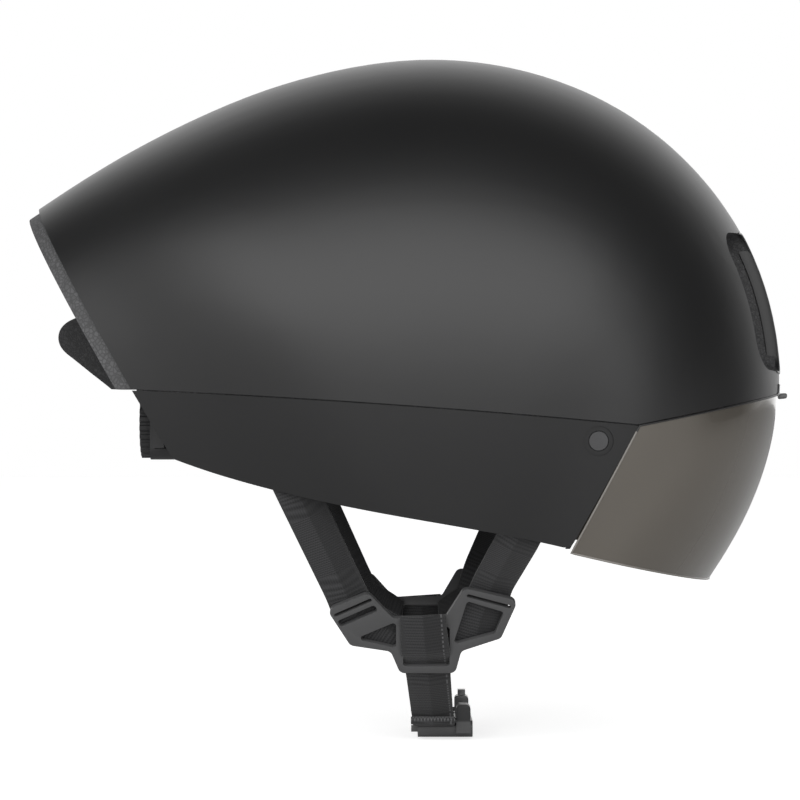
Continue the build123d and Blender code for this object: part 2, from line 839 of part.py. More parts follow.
# Fit band arms, from the temple eyes to the racks
band_wall = 1.6
band_room_share = 0.945
band_x_shares = (0.150, -0.050, -0.250, -0.450, -0.620, -0.740)
band_rear_shares = (
    (0.745, 1.205),
    (0.830, 1.115),
    (0.920, 1.050),
)
band_start_x = pivot_x - eye_radius - seat_gap
band_middle = (eye_inner + eye_outer) / 2
rack_middle_x = (rack_rear + rack_front) / 2
band_end = rack_reach + seat_gap + band_wall / 2
band_slope = (cradle_z - pivot_z) / (rack_middle_x - pivot_x)


def band_height_at(x):
    return pivot_z + (x - pivot_x) * band_slope


band_plan = [(band_start_x, band_middle)]
for x_share in band_x_shares:
    room_wall = room_half_width * sqrt(1 - x_share ** 2)
    band_plan.append((x_share * room_half_length, band_room_share * room_wall))
for x_share, y_share in band_rear_shares:
    band_plan.append((x_share * rack_middle_x, y_share * band_end))
band_plan.append((rack_middle_x, band_end))

with BuildPart() as fit_band_right:
    ribbon(
        [(x, -y, band_height_at(x)) for x, y in band_plan],
        [(0, 0, 1)] * len(band_plan),
        band_height,
        band_wall,
    )
fit_band_right.part.label = "fit_band_right"
export_step(fit_band_right.part, "parts/fit_band_right.step")

with BuildPart() as fit_band_left:
    mirror(fit_band_right.part, about=Plane.XZ)
fit_band_left.part.label = "fit_band_left"
export_step(fit_band_left.part, "parts/fit_band_left.step")

# Strap dividers: a slotted plate each side, leaning in towards the chin
divider_wall = 2.2
divider_width = 72.6
divider_height = 37.4
divider_lean = 26.0
divider_x = -10.0
divider_low = 115.3
divider_beside = 46.35
divider_round = 2.8
window_round = 1.2
divider_shares = (
    (-0.548, 0.749),
    (-0.331, 0.944),
    (-0.202, 0.647),
    (0.073, 0.655),
    (0.171, 1.000),
    (0.452, 0.856),
    (0.366, 0.414),
    (0.158, 0.262),
    (0.127, 0.000),
    (-0.165, 0.000),
    (-0.214, 0.257),
    (-0.427, 0.329),
)
slot_high = 1.4
rear_slot_share = (-0.412, 0.773)
rear_slot_length = 15.9
rear_slot_turn = 26.6
rear_window_share = (-0.388, 0.676)
rear_window_high = 4.4
front_slot_share = (0.300, 0.848)
front_slot_length = 17.6
front_slot_turn = -17.0
triangle_shares = ((-0.402, 0.406), (-0.186, 0.610), (-0.186, 0.297))
front_window_shares = ((0.186, 0.850), (0.380, 0.722), (0.332, 0.468), (0.114, 0.340))
chin_window_width = 17.8
chin_window_middle = -1.9
chin_window_low = 3.0
chin_window_high = 20.5
lean_sin = sin(radians(divider_lean))
lean_cos = cos(radians(divider_lean))


def on_divider(along, up, out):
    """A point of the right divider: along +X, up its face, and outwards from its middle."""
    return (
        divider_x + along,
        -(divider_beside + up * lean_sin + out * lean_cos),
        -divider_low + up * lean_cos - out * lean_sin,
    )


def on_plate(shares):
    return (shares[0] * divider_width, shares[1] * divider_height)


divider_plane = Plane(
    origin=on_divider(0, 0, -divider_wall / 2), x_dir=(1, 0, 0), z_dir=(0, -lean_cos, -lean_sin)
)

with BuildSketch(divider_plane) as divider_windows:
    with Locations(on_plate(rear_window_share)):
        Rectangle(rear_slot_length, rear_window_high - slot_high, rotation=rear_slot_turn)
    for corners in (triangle_shares, front_window_shares):
        with BuildLine():
            Polyline(*[on_plate(shares) for shares in corners], close=True)
        make_face()
    with Locations((chin_window_middle, (chin_window_low + chin_window_high) / 2)):
        Rectangle(chin_window_width, chin_window_high - chin_window_low)
    fillet(divider_windows.vertices(), window_round)

with BuildPart() as strap_divider_right:
    with BuildSketch(divider_plane) as divider_outline:
        with BuildLine():
            Polyline(*[on_plate(shares) for shares in divider_shares], close=True)
        make_face()
        fillet(divider_outline.vertices(), divider_round)
        with Locations(on_plate(rear_slot_share)):
            SlotOverall(rear_slot_length, slot_high, rotation=rear_slot_turn, mode=Mode.SUBTRACT)
        with Locations(on_plate(front_slot_share)):
            SlotOverall(front_slot_length, slot_high, rotation=front_slot_turn, mode=Mode.SUBTRACT)
    extrude(amount=divider_wall)
    extrude(divider_windows.sketch, amount=divider_wall, mode=Mode.SUBTRACT)
strap_divider_right.part.label = "strap_divider_right"
export_step(strap_divider_right.part, "parts/strap_divider_right.step")

with BuildPart() as strap_divider_left:
    mirror(strap_divider_right.part, about=Plane.XZ)
strap_divider_left.part.label = "strap_divider_left"
export_step(strap_divider_left.part, "parts/strap_divider_left.step")

# Webbing: front and rear straps from the foam to the dividers
webbing_width = 16.0
webbing_wall = 1.2
behind_plate = -(divider_wall / 2 + seat_gap + webbing_wall / 2)
strap_entry = 14.3
front_across = (0.900, 0.0, -0.436)
rear_across = (0.900, 0.0, 0.436)
front_root = (28.6, -83.2, -49.0)
rear_root = (-66.5, -72.8, -33.0)


def strap_exit(root, across):
    """Where a strap leaves the foam, straight down its own run from its top."""
    return (root[0] + strap_entry * across[2], root[1], root[2] - strap_entry * across[0])


front_exit = strap_exit(front_root, front_across)
rear_exit = strap_exit(rear_root, rear_across)
front_arm = on_divider(22.9, 36.8, behind_plate - seat_gap)
front_end = on_divider(15.5, 12.0, behind_plate)
rear_arm = on_divider(-32.2, 33.0, behind_plate)
rear_end = on_divider(-21.3, 8.9, behind_plate)
front_plate_across = (0.969, 0.253 * lean_sin, -0.253 * lean_cos)
rear_plate_across = (0.900, -0.438 * lean_sin, 0.438 * lean_cos)

with BuildPart() as front_strap_right:
    ribbon(
        [front_root, front_exit, front_arm, front_end],
        [front_across, front_across, front_plate_across, front_plate_across],
        webbing_width,
        webbing_wall,
    )
front_strap_right.part.label = "front_strap_right"
export_step(front_strap_right.part, "parts/front_strap_right.step")

with BuildPart() as front_strap_left:
    mirror(front_strap_right.part, about=Plane.XZ)
front_strap_left.part.label = "front_strap_left"
export_step(front_strap_left.part, "parts/front_strap_left.step")

with BuildPart() as rear_strap_right:
    ribbon(
        [rear_root, rear_exit, rear_arm, rear_end],
        [rear_across, rear_across, rear_plate_across, rear_plate_across],
        webbing_width,
        webbing_wall,
    )
rear_strap_right.part.label = "rear_strap_right"
export_step(rear_strap_right.part, "parts/rear_strap_right.step")

with BuildPart() as rear_strap_left:
    mirror(rear_strap_right.part, about=Plane.XZ)
rear_strap_left.part.label = "rear_strap_left"
export_step(rear_strap_left.part, "parts/rear_strap_left.step")

# Anchor blocks moulded in the foam above the straps
anchor_length = 20.0
anchor_height = 5.0
anchor_wall = 3.6


def anchor_block(root, across):
    """A block that caps a strap's top, along the strap's width."""
    turn = Vector(*across).normalized()
    upward = Vector(-turn.Z, 0, turn.X)
    if upward.Z < 0:
        upward = upward * -1
    middle = Vector(*root) + upward * (anchor_height / 2 + seat_gap)
    for sign in (1, -1):
        place = Plane(origin=(middle.X, sign * middle.Y, middle.Z), x_dir=turn, z_dir=upward)
        with BuildSketch(place) as block:
            Rectangle(anchor_length, anchor_wall)
        extrude(block.sketch, amount=anchor_height / 2, both=True)


with BuildPart() as strap_anchors:
    anchor_block(front_root, front_across)
    anchor_block(rear_root, rear_across)
strap_anchors.part.label = "strap_anchors"
export_step(strap_anchors.part, "parts/strap_anchors.step")

# Chin buckle: a body with a channel, and a tongue that slides out of it forwards
buckle_x = -4.2
buckle_length = 21.6
buckle_half = 20.0
buckle_low = 143.6
buckle_wall = 6.4
buckle_round = 2.9
buckle_block = 9.0
buckle_end = 13.2
buckle_stop = 3.5
buckle_floor = 3.1
flange_reach = 1.3
flange_wall = 0.8
tongue_wall = 2.8
tongue_block = 14.0
tongue_end_gap = 0.5
thumb_wall = 3.0
thumb_rise = 2.2
thumb_inset = 2.0
strap_bar_x = -8.9
strap_bar_beside = 21.8
strap_bar_z = -136.6
strap_bar_radius = 0.9
strap_bar_half = 9.0
strap_ear = 1.6
strap_ear_root = 14.0
strap_ear_rise = 2.0
hook_wall = 5.6
hook_top = -130.4
hook_round = 1.8
snap_radius = 4.5
snap_wall = 1.4
snap_x = -3.5
snap_y = 2.0

buckle_rear = buckle_x - buckle_length / 2
buckle_front = buckle_x + buckle_length / 2
buckle_top = -buckle_low + buckle_wall
channel_z = -buckle_low + buckle_floor
tongue_low = channel_z + seat_gap
flange_low = tongue_low + (tongue_wall - flange_wall) / 2


def block(low, high):
    """A box between two corners."""
    size = [b - a for a, b in zip(low, high)]
    middle = tuple((a + b) / 2 for a, b in zip(low, high))
    with Locations(middle):
        Box(*size)


def strap_bar(sign):
    """The bar that the chin webbing wraps, between a low ear behind and a tall hook in front."""
    bar_low = strap_bar_x - strap_bar_half
    bar_high = strap_bar_x + strap_bar_half
    bar_plane = Plane(origin=(bar_low - strap_ear, sign * strap_bar_beside, strap_bar_z), z_dir=(1, 0, 0))
    with BuildSketch(bar_plane) as bar_end:
        Circle(strap_bar_radius)
    extrude(bar_end.sketch, amount=2 * strap_bar_half + strap_ear + hook_wall)
    ear_near = strap_bar_beside + strap_bar_radius
    corners = sorted((sign * ear_near, sign * strap_ear_root))
    ears = (
        (bar_low - strap_ear, bar_low, strap_bar_z + strap_bar_radius),
        (bar_high, bar_high + hook_wall, hook_top),
    )
    for ear_rear, ear_front, ear_top in ears:
        block((ear_rear, corners[0], -buckle_low + strap_ear_rise), (ear_front, corners[1], ear_top))
    root = sorted((sign * (buckle_half - buckle_round), sign * strap_ear_root))
    block(
        (bar_low - strap_ear, root[0], -buckle_low + strap_ear_rise),
        (buckle_rear + buckle_round, root[1], buckle_top - strap_ear_rise),
    )


with BuildPart() as buckle_body:
    with BuildSketch(Plane.YZ.offset(buckle_rear)) as body_end:
        with Locations(((buckle_end - buckle_half) / 2, (buckle_top - buckle_low) / 2)):
            RectangleRounded(buckle_end + buckle_half, buckle_wall, buckle_round)
    extrude(amount=buckle_length)
    strap_bar(-1)
    fillet(buckle_body.edges().filter_by(Axis.Y).group_by(Axis.Z)[-1], hook_round)
    with BuildSketch(Plane.YZ.offset(buckle_rear + buckle_stop)) as channel_end:
        with Locations((-buckle_block, channel_z)):
            Rectangle(2 * buckle_half, buckle_wall, align=(Align.MIN, Align.MIN))
        with Locations((-buckle_block - flange_reach - seat_gap, flange_low - seat_gap)):
            Rectangle(2 * buckle_half, flange_wall + 2 * seat_gap, align=(Align.MIN, Align.MIN))
    extrude(amount=buckle_length, mode=Mode.SUBTRACT)
    with BuildSketch(Plane.XY.offset(channel_z - seat_gap)) as snap_seat:
        with Locations((snap_x, snap_y)):
            Circle(snap_radius)
    extrude(amount=-snap_wall, mode=Mode.SUBTRACT)
buckle_body.part.label = "buckle_body"
export_step(buckle_body.part, "parts/buckle_body.step")

with BuildPart() as body_magnet:
    with BuildSketch(Plane.XY.offset(channel_z - seat_gap)) as body_disc:
        with Locations((snap_x, snap_y)):
            Circle(snap_radius)
    extrude(amount=-snap_wall)
body_magnet.part.label = "body_magnet"
export_step(body_magnet.part, "parts/body_magnet.step")

with BuildPart() as buckle_tongue:
    block(
        (buckle_rear + buckle_stop + seat_gap, -buckle_block + seat_gap, tongue_low),
        (buckle_front, tongue_block, tongue_low + tongue_wall),
    )
    block(
        (buckle_rear + buckle_stop + seat_gap, -buckle_block - flange_reach, flange_low),
        (buckle_front, 0, flange_low + flange_wall),
    )
    with BuildSketch(Plane.YZ.offset(buckle_rear)) as tongue_end:
        with Locations(((buckle_end + tongue_end_gap + buckle_half) / 2, (buckle_top - buckle_low) / 2)):
            RectangleRounded(buckle_half - buckle_end - tongue_end_gap, buckle_wall, buckle_round)
    extrude(amount=buckle_length)
    strap_bar(1)
    fillet(buckle_tongue.edges().filter_by(Axis.Y).group_by(Axis.Z)[-1], hook_round)
    thumb_x = strap_bar_x + strap_bar_half + hook_wall / 2
    block(
        (thumb_x - thumb_wall / 2, strap_ear_root + thumb_inset, hook_top - thumb_rise),
        (thumb_x + thumb_wall / 2, strap_bar_beside + strap_bar_radius - thumb_inset, hook_top + thumb_rise),
    )
    with BuildSketch(Plane.XY.offset(tongue_low)) as snap_pocket:
        with Locations((snap_x, snap_y)):
            Circle(snap_radius)
    extrude(amount=snap_wall, mode=Mode.SUBTRACT)
buckle_tongue.part.label = "buckle_tongue"
export_step(buckle_tongue.part, "parts/buckle_tongue.step")

with BuildPart() as tongue_magnet:
    with BuildSketch(Plane.XY.offset(tongue_low)) as tongue_disc:
        with Locations((snap_x, snap_y)):
            Circle(snap_radius)
    extrude(amount=snap_wall)
tongue_magnet.part.label = "tongue_magnet"
export_step(tongue_magnet.part, "parts/tongue_magnet.step")

# Chin webbing: over the divider's middle, behind its bottom bar, down and round the buckle's bar
wrap_radius = strap_bar_radius + seat_gap / 2 + webbing_wall / 2
wrap_steps = 6
wrap_tail = 6.0
over_plate = -behind_plate
chin_top = 26.0
chin_over = 9.2
chin_under = 4.6
chin_clear = 1.0
chin_lead = (-3.4, -2.2, -1.6, -1.2)

leave = on_divider(chin_lead[3], -chin_clear, behind_plate)
fall_angle = atan2(strap_bar_z - leave[2], strap_bar_beside + leave[1])
start_angle = fall_angle + pi / 2

chin_points = [
    on_divider(chin_lead[0], chin_top, over_plate),
    on_divider(chin_lead[1], chin_over, over_plate),
    on_divider(chin_lead[2], chin_under, behind_plate),
    leave,
]
for step in range(wrap_steps + 1):
    angle = start_angle - pi * step / wrap_steps
    beside = strap_bar_beside + wrap_radius * cos(angle)
    chin_points.append((strap_bar_x, -beside, strap_bar_z + wrap_radius * sin(angle)))
wrap_end = chin_points[-1]
tail_beside = -wrap_end[1] - wrap_tail * cos(fall_angle)
chin_points.append((strap_bar_x, -tail_beside, wrap_end[2] - wrap_tail * sin(fall_angle)))

with BuildPart() as chin_strap_right:
    ribbon(chin_points, [(1, 0, 0)] * len(chin_points), webbing_width, webbing_wall)
chin_strap_right.part.label = "chin_strap_right"
export_step(chin_strap_right.part, "parts/chin_strap_right.step")

with BuildPart() as chin_strap_left:
    mirror(chin_strap_right.part, about=Plane.XZ)
chin_strap_left.part.label = "chin_strap_left"
export_step(chin_strap_left.part, "parts/chin_strap_left.step")

# Foam liner
exhaust_near = 12.0
exhaust_far = 36.0
exhaust_low = 23.0
exhaust_high = 45.0
exhaust_round = 6.0
exhaust_from = 70.0
bay_half = 62.0
bay_shares = (
    (-0.470, -0.500),
    (-0.470, 0.080),
    (-0.624, 0.080),
    (-0.760, rim_bottom_share),
    (-0.900, rim_bottom_share),
    (-0.900, -0.500),
)
lobe_shares = (
    (0.445, -0.175),
    (0.305, -0.480),
    (-0.070, -0.398),
    (-0.410, -0.305),
    (-0.620, -0.225),
    (-0.715, -0.075),
)

liner_room = head_form(pad_room)

with BuildPart() as foam_liner:
    with BuildSketch(Plane.XZ) as liner_side:
        with BuildLine():
            lobes = [side(x_share, z_share) for x_share, z_share in lobe_shares]
            Polyline(
                tail_point(rim_bottom, rim_depth),
                tail_point(shell_sky, rim_depth),
                (shell_ahead, shell_sky),
                (shell_ahead, shell_edge[1]),
                shell_edge,
                shell_corner,
                *lobes,
                (lobes[-1][0], rim_bottom),
                close=True,
            )
        make_face()
    extrude(amount=shell_beside, both=True)
    add(skin_form, mode=Mode.INTERSECT)
    add(liner_room, mode=Mode.SUBTRACT)
    add(vent_channels.part, mode=Mode.SUBTRACT)
    with BuildSketch(Plane.YZ.offset(-exhaust_from)) as exhaust_ports:
        port_middle = (exhaust_near + exhaust_far) / 2
        with Locations(
            (port_middle, (exhaust_low + exhaust_high) / 2), (-port_middle, (exhaust_low + exhaust_high) / 2)
        ):
            RectangleRounded(exhaust_far - exhaust_near, exhaust_high - exhaust_low, exhaust_round)
    extrude(amount=-tail_reach, mode=Mode.SUBTRACT)
    with BuildSketch(Plane.XZ) as bay_side:
        with BuildLine():
            Polyline(*[side(x_share, z_share) for x_share, z_share in bay_shares], close=True)
        make_face()
    extrude(amount=bay_half, both=True, mode=Mode.SUBTRACT)
    with BuildSketch(Plane.XZ) as pivot_pockets:
        with Locations((pivot_x, pivot_z)):
            Circle(pocket_radius)
    extrude(amount=pocket_face, both=True, mode=Mode.SUBTRACT)
    add(tail_diffuser.part, mode=Mode.SUBTRACT)
    add(brow_dock.part, mode=Mode.SUBTRACT)
    add(lip_notch.part, mode=Mode.SUBTRACT)
    add(side_dock_right.part, mode=Mode.SUBTRACT)
    add(side_dock_left.part, mode=Mode.SUBTRACT)
    add(panel_studs.part, mode=Mode.SUBTRACT)
    add(temple_pivot_right.part, mode=Mode.SUBTRACT)
    add(temple_pivot_left.part, mode=Mode.SUBTRACT)
    add(strap_anchors.part, mode=Mode.SUBTRACT)
    add(front_strap_right.part, mode=Mode.SUBTRACT)
    add(front_strap_left.part, mode=Mode.SUBTRACT)
    add(rear_strap_right.part, mode=Mode.SUBTRACT)
    add(rear_strap_left.part, mode=Mode.SUBTRACT)
foam_liner.part.label = "foam_liner"
export_step(foam_liner.part, "parts/foam_liner.step")
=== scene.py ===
# %% [markdown]
# # An aero time trial helmet
# The helmet's solids arrive as one fixed frame, in metres, with +X the way the wearer looks.
# This lesson dresses them: soft pads and webbing are modelled anew, hard edges are softened,
# and every surface gets a finish of its own.

# %% Load the frame
import json
import math
import bmesh
import bpy
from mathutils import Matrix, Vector

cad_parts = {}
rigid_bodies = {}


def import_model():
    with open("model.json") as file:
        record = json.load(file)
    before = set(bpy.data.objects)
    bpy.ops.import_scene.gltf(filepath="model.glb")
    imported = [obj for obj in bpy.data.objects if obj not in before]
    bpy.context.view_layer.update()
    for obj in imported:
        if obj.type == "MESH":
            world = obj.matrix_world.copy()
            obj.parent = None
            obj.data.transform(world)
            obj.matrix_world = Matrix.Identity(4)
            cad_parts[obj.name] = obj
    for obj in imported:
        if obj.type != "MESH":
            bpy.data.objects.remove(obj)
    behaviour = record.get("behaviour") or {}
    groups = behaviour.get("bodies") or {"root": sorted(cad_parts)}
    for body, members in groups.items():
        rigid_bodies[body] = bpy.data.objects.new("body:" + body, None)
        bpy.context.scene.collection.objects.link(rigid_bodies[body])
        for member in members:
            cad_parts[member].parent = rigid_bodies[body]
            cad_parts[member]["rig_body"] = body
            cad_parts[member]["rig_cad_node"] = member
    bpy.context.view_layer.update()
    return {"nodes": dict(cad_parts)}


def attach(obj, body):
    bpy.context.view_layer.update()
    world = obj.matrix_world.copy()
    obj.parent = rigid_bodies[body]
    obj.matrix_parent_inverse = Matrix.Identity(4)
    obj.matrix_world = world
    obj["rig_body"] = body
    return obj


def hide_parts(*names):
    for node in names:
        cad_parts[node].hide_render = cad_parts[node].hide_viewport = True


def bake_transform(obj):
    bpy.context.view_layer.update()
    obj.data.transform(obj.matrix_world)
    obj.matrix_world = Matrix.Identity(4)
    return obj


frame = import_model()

# %% [markdown]
# ## Helpers for modelling
# Operators act on whatever is selected, so every step starts from an empty selection.
# The sides of the helmet are alike, so a place on the right becomes one on the left by its Y.

# %% Selection helpers
SIDES = (("right", -1), ("left", 1))


def select_only(piece):
    bpy.ops.object.select_all(action="DESELECT")
    piece.hide_set(False)
    piece.select_set(True)
    bpy.context.view_layer.objects.active = piece


def apply_modifiers(piece):
    select_only(piece)
    for modifier in list(piece.modifiers):
        bpy.ops.object.modifier_apply(modifier=modifier.name)


def smooth_by_angle(piece, degrees):
    select_only(piece)
    bpy.ops.object.shade_smooth_by_angle(angle=math.radians(degrees))


print("helpers ready for", len(frame["nodes"]), "nodes")

# %% [markdown]
# ## Helpers for node trees
# A pattern that several finishes share is a node group with named sockets. Long sums of Math
# nodes are hard to read, so `calculator` gives one tree a short call that adds one such node.

# %% Node helpers
FLOAT = "NodeSocketFloat"
VECTOR = "NodeSocketVector"


def new_group(name, inputs, outputs):
    group = bpy.data.node_groups.new(name, "ShaderNodeTree")
    for socket_name, kind, value in inputs:
        socket = group.interface.new_socket(name=socket_name, in_out="INPUT", socket_type=kind)
        if value is not None:
            socket.default_value = value
    for socket_name in outputs:
        group.interface.new_socket(name=socket_name, in_out="OUTPUT", socket_type=FLOAT)
    return group, group.nodes.new("NodeGroupInput"), group.nodes.new("NodeGroupOutput")


def link(tree, from_socket, to_socket):
    tree.links.new(from_socket, to_socket)


def calculator(tree):
    def calculate(operation, first, second=None, clamp=False):
        node = tree.nodes.new("ShaderNodeMath")
        node.operation = operation
        node.use_clamp = clamp
        for place, value in enumerate((first, second)):
            if isinstance(value, (int, float)):
                node.inputs[place].default_value = value
            elif value is not None:
                link(tree, value, node.inputs[place])
        return node.outputs[0]

    return calculate


print("node helpers ready")

# %% [markdown]
# ## Fine grain
# Moulded plastic and cloth are never quite even. One group makes a fine grain, for a bump,
# and a cloud, which lets tone and roughness wander slowly over a surface.

# %% Grain group
grain, grain_in, grain_out = new_group(
    "fine_grain",
    [("Vector", VECTOR, None), ("Grain Scale", FLOAT, 2500.0), ("Cloud Scale", FLOAT, 30.0)],
    ["Grain", "Cloud"],
)
for label, detail in (("Grain", 3.0), ("Cloud", 4.0)):
    noise = grain.nodes.new("ShaderNodeTexNoise")
    noise.inputs["Detail"].default_value = detail
    link(grain, grain_in.outputs["Vector"], noise.inputs["Vector"])
    link(grain, grain_in.outputs[label + " Scale"], noise.inputs["Scale"])
    link(grain, noise.outputs["Fac"], grain_out.inputs[label])
print("group:", grain.name)

# %% [markdown]
# ## Foam beads
# Expanded foam is made of beads pressed together, so Voronoi cells give its look: each bead
# has its own tone, the joints between beads are dark and low, and a few specks get a painted
# glint, a lighter colour that stands in for light the beads catch.

# %% Bead group
JOINT_SHARPNESS = 5.0
SPECKS_PER_BEAD = 4.0
PAINTED_GLINT_FROM = 0.60
PAINTED_GLINT_CONTRAST = 9.0

beads, beads_in, beads_out = new_group(
    "foam_beads",
    [("Vector", VECTOR, None), ("Bead Scale", FLOAT, 420.0)],
    ["Tone", "Height", "Painted Glint"],
)
calculate = calculator(beads)
cells = beads.nodes.new("ShaderNodeTexVoronoi")
joints = beads.nodes.new("ShaderNodeTexVoronoi")
joints.feature = "DISTANCE_TO_EDGE"
for node in (cells, joints):
    link(beads, beads_in.outputs["Vector"], node.inputs["Vector"])
    link(beads, beads_in.outputs["Bead Scale"], node.inputs["Scale"])
bead_tone = beads.nodes.new("ShaderNodeSeparateColor")
link(beads, cells.outputs["Color"], bead_tone.inputs[0])
link(beads, bead_tone.outputs[0], beads_out.inputs["Tone"])
bead_height = calculate("MULTIPLY", joints.outputs["Distance"], JOINT_SHARPNESS, clamp=True)
link(beads, bead_height, beads_out.inputs["Height"])

# Painted glint: noise specks above a level turn into lighter colour, painted highlights on the beads.
specks = beads.nodes.new("ShaderNodeTexNoise")
specks.inputs["Detail"].default_value = 2.0
link(beads, beads_in.outputs["Vector"], specks.inputs["Vector"])
speck_scale = calculate("MULTIPLY", beads_in.outputs["Bead Scale"], SPECKS_PER_BEAD)
link(beads, speck_scale, specks.inputs["Scale"])
bright = calculate("SUBTRACT", specks.outputs["Fac"], PAINTED_GLINT_FROM)
painted_glint = calculate("MULTIPLY", bright, PAINTED_GLINT_CONTRAST, clamp=True)
link(beads, painted_glint, beads_out.inputs["Painted Glint"])
print("group:", beads.name)

# %% [markdown]
# ## Herringbone weave
# Webbing has fine rows across the band, bent to a shallow V as a herringbone, and each row is
# a line of yarns that are offset from the next row's. The bands carry a UV map in millimetres,
# across and along, so the weave keeps its size and follows each turn.

# %% Weave rows
TURN = 2 * math.pi
ROW_SLANT = 0.10
YARN_PITCH = 0.95
ROW_SHARE = 0.34
YARN_SHARE = 0.16
HALF_BLEND = 1.5
EDGE_FADE = 0.8

weave, weave_in, weave_out = new_group(
    "herringbone_weave",
    [("Vector", VECTOR, None), ("Pitch", FLOAT, 1.3), ("Half Width", FLOAT, 8.0),
     ("Zigzag Place", FLOAT, 100.9)],
    ["Height", "Edge", "Half", "Stitch", "Zigzag"],
)
calculate = calculator(weave)
axes = weave.nodes.new("ShaderNodeSeparateXYZ")
link(weave, weave_in.outputs["Vector"], axes.inputs[0])
across, along = axes.outputs[0], axes.outputs[1]
from_middle = calculate("ABSOLUTE", across)
slanted = calculate("ADD", calculate("MULTIPLY", from_middle, ROW_SLANT), along)
row = calculate("DIVIDE", slanted, weave_in.outputs["Pitch"])
rib = calculate("SINE", calculate("MULTIPLY", row, TURN))
offset = calculate("MULTIPLY", calculate("FLOOR", row), math.pi)
yarn_place = calculate("ADD", calculate("MULTIPLY", across, TURN / YARN_PITCH), offset)
yarn = calculate("SINE", yarn_place)
woven = calculate("ADD", calculate("MULTIPLY", rib, ROW_SHARE), calculate("MULTIPLY", yarn, YARN_SHARE))
link(weave, calculate("ADD", woven, 0.5), weave_out.inputs["Height"])
# Which half of the V a spot lies in, blended at the middle: the mask for the painted shade of one half.
painted_shade_half_mask = calculate("ADD", calculate("MULTIPLY", across, HALF_BLEND), 0.5, clamp=True)
link(weave, painted_shade_half_mask, weave_out.inputs["Half"])
from_edge = calculate("SUBTRACT", weave_in.outputs["Half Width"], from_middle)
near_edge = calculate("SUBTRACT", 1.0, calculate("MULTIPLY", from_edge, EDGE_FADE), clamp=True)
link(weave, near_edge, weave_out.inputs["Edge"])
print("group:", weave.name)

# %% [markdown]
# A row of stitches runs near one edge of the sewn straps, and a zigzag crosses the band where
# its end is sewn down. Both are masks in the same group, in millimetres of the same map.

# %% Stitches
STITCH_INSET = 1.0
STITCH_HALF = 0.3
STITCH_PITCH = 1.9
DASH_LEVEL = -0.2
TOOTH_WIDTH = 0.65
TOOTH_SLOPE = 2.2
ZIGZAG_HALF = 0.35

from_one_edge = calculate("SUBTRACT", weave_in.outputs["Half Width"], across)
off_line = calculate("ABSOLUTE", calculate("SUBTRACT", from_one_edge, STITCH_INSET))
on_line = calculate("LESS_THAN", off_line, STITCH_HALF)
stitch_wave = calculate("SINE", calculate("MULTIPLY", along, TURN / STITCH_PITCH))
dash = calculate("GREATER_THAN", stitch_wave, DASH_LEVEL)
link(weave, calculate("MULTIPLY", on_line, dash), weave_out.inputs["Stitch"])
to_zigzag = calculate("SUBTRACT", along, weave_in.outputs["Zigzag Place"])
tooth = calculate("MULTIPLY", calculate("PINGPONG", across, TOOTH_WIDTH), TOOTH_SLOPE)
off_tooth = calculate("ABSOLUTE", calculate("SUBTRACT", to_zigzag, tooth))
link(weave, calculate("LESS_THAN", off_tooth, ZIGZAG_HALF), weave_out.inputs["Zigzag"])
print("stitch masks added to", weave.name)

# %% [markdown]
# ## Finishes
# Each finish is a Principled surface. One function starts it and lets its roughness wander
# with the cloud. Another makes a plain one: two near tones mixed by the cloud, and a grain
# as a bump. All finishes are kept by name.

# %% Finish starter
finishes = {}


def mix_colour(tree, factor, first, second):
    node = tree.nodes.new("ShaderNodeMix")
    node.data_type = "RGBA"
    link(tree, factor, node.inputs["Factor"])
    for place, value in ((6, first), (7, second)):
        if isinstance(value, tuple):
            node.inputs[place].default_value = (*value, 1.0)
        else:
            link(tree, value, node.inputs[place])
    return node.outputs[2]


def map_range(tree, value, **ranges):
    """A Map Range node: from_min, from_max, to_min and to_max give its ends."""
    node = tree.nodes.new("ShaderNodeMapRange")
    link(tree, value, node.inputs["Value"])
    for name, end in ranges.items():
        node.inputs[name.replace("_", " ").title()].default_value = end
    return node.outputs["Result"]


def bump(tree, height, distance, strength, shader):
    node = tree.nodes.new("ShaderNodeBump")
    node.inputs["Distance"].default_value = distance
    node.inputs["Strength"].default_value = strength
    link(tree, height, node.inputs["Height"])
    link(tree, node.outputs["Normal"], shader.inputs["Normal"])


def start_finish(name, roughness, cloud_scale):
    finish = bpy.data.materials.new(name)
    finish.use_nodes = True
    tree = finish.node_tree
    shader = tree.nodes["Principled BSDF"]
    place = tree.nodes.new("ShaderNodeTexCoord")
    group = tree.nodes.new("ShaderNodeGroup")
    group.node_tree = grain
    group.inputs["Cloud Scale"].default_value = cloud_scale
    link(tree, place.outputs["Object"], group.inputs["Vector"])
    smooth, rough = roughness
    wandering = map_range(tree, group.outputs["Cloud"], to_min=smooth, to_max=rough)
    link(tree, wandering, shader.inputs["Roughness"])
    finishes[name] = finish
    return tree, shader, place, group


def plain_finish(name, dark, light, roughness, grain_scale, cloud_scale, grain_depth, grain_strength):
    tree, shader, place, group = start_finish(name, roughness, cloud_scale)
    group.inputs["Grain Scale"].default_value = grain_scale
    link(tree, mix_colour(tree, group.outputs["Cloud"], dark, light), shader.inputs["Base Color"])
    bump(tree, group.outputs["Grain"], grain_depth, grain_strength, shader)
    return tree, shader, place


print("finish starter ready")

# %% [markdown]
# ## Plastic finishes
# The shell is satin black lacquer, the ear panels are a shade matter and greyer, and the
# small moulded parts are grained dark plastic. The dial has a softer, rubbery surface.
# Black plastic is a little cool, so each grey has its blue set apart.

# %% Plastics
def grey(tone, blue):
    return tone, tone, blue


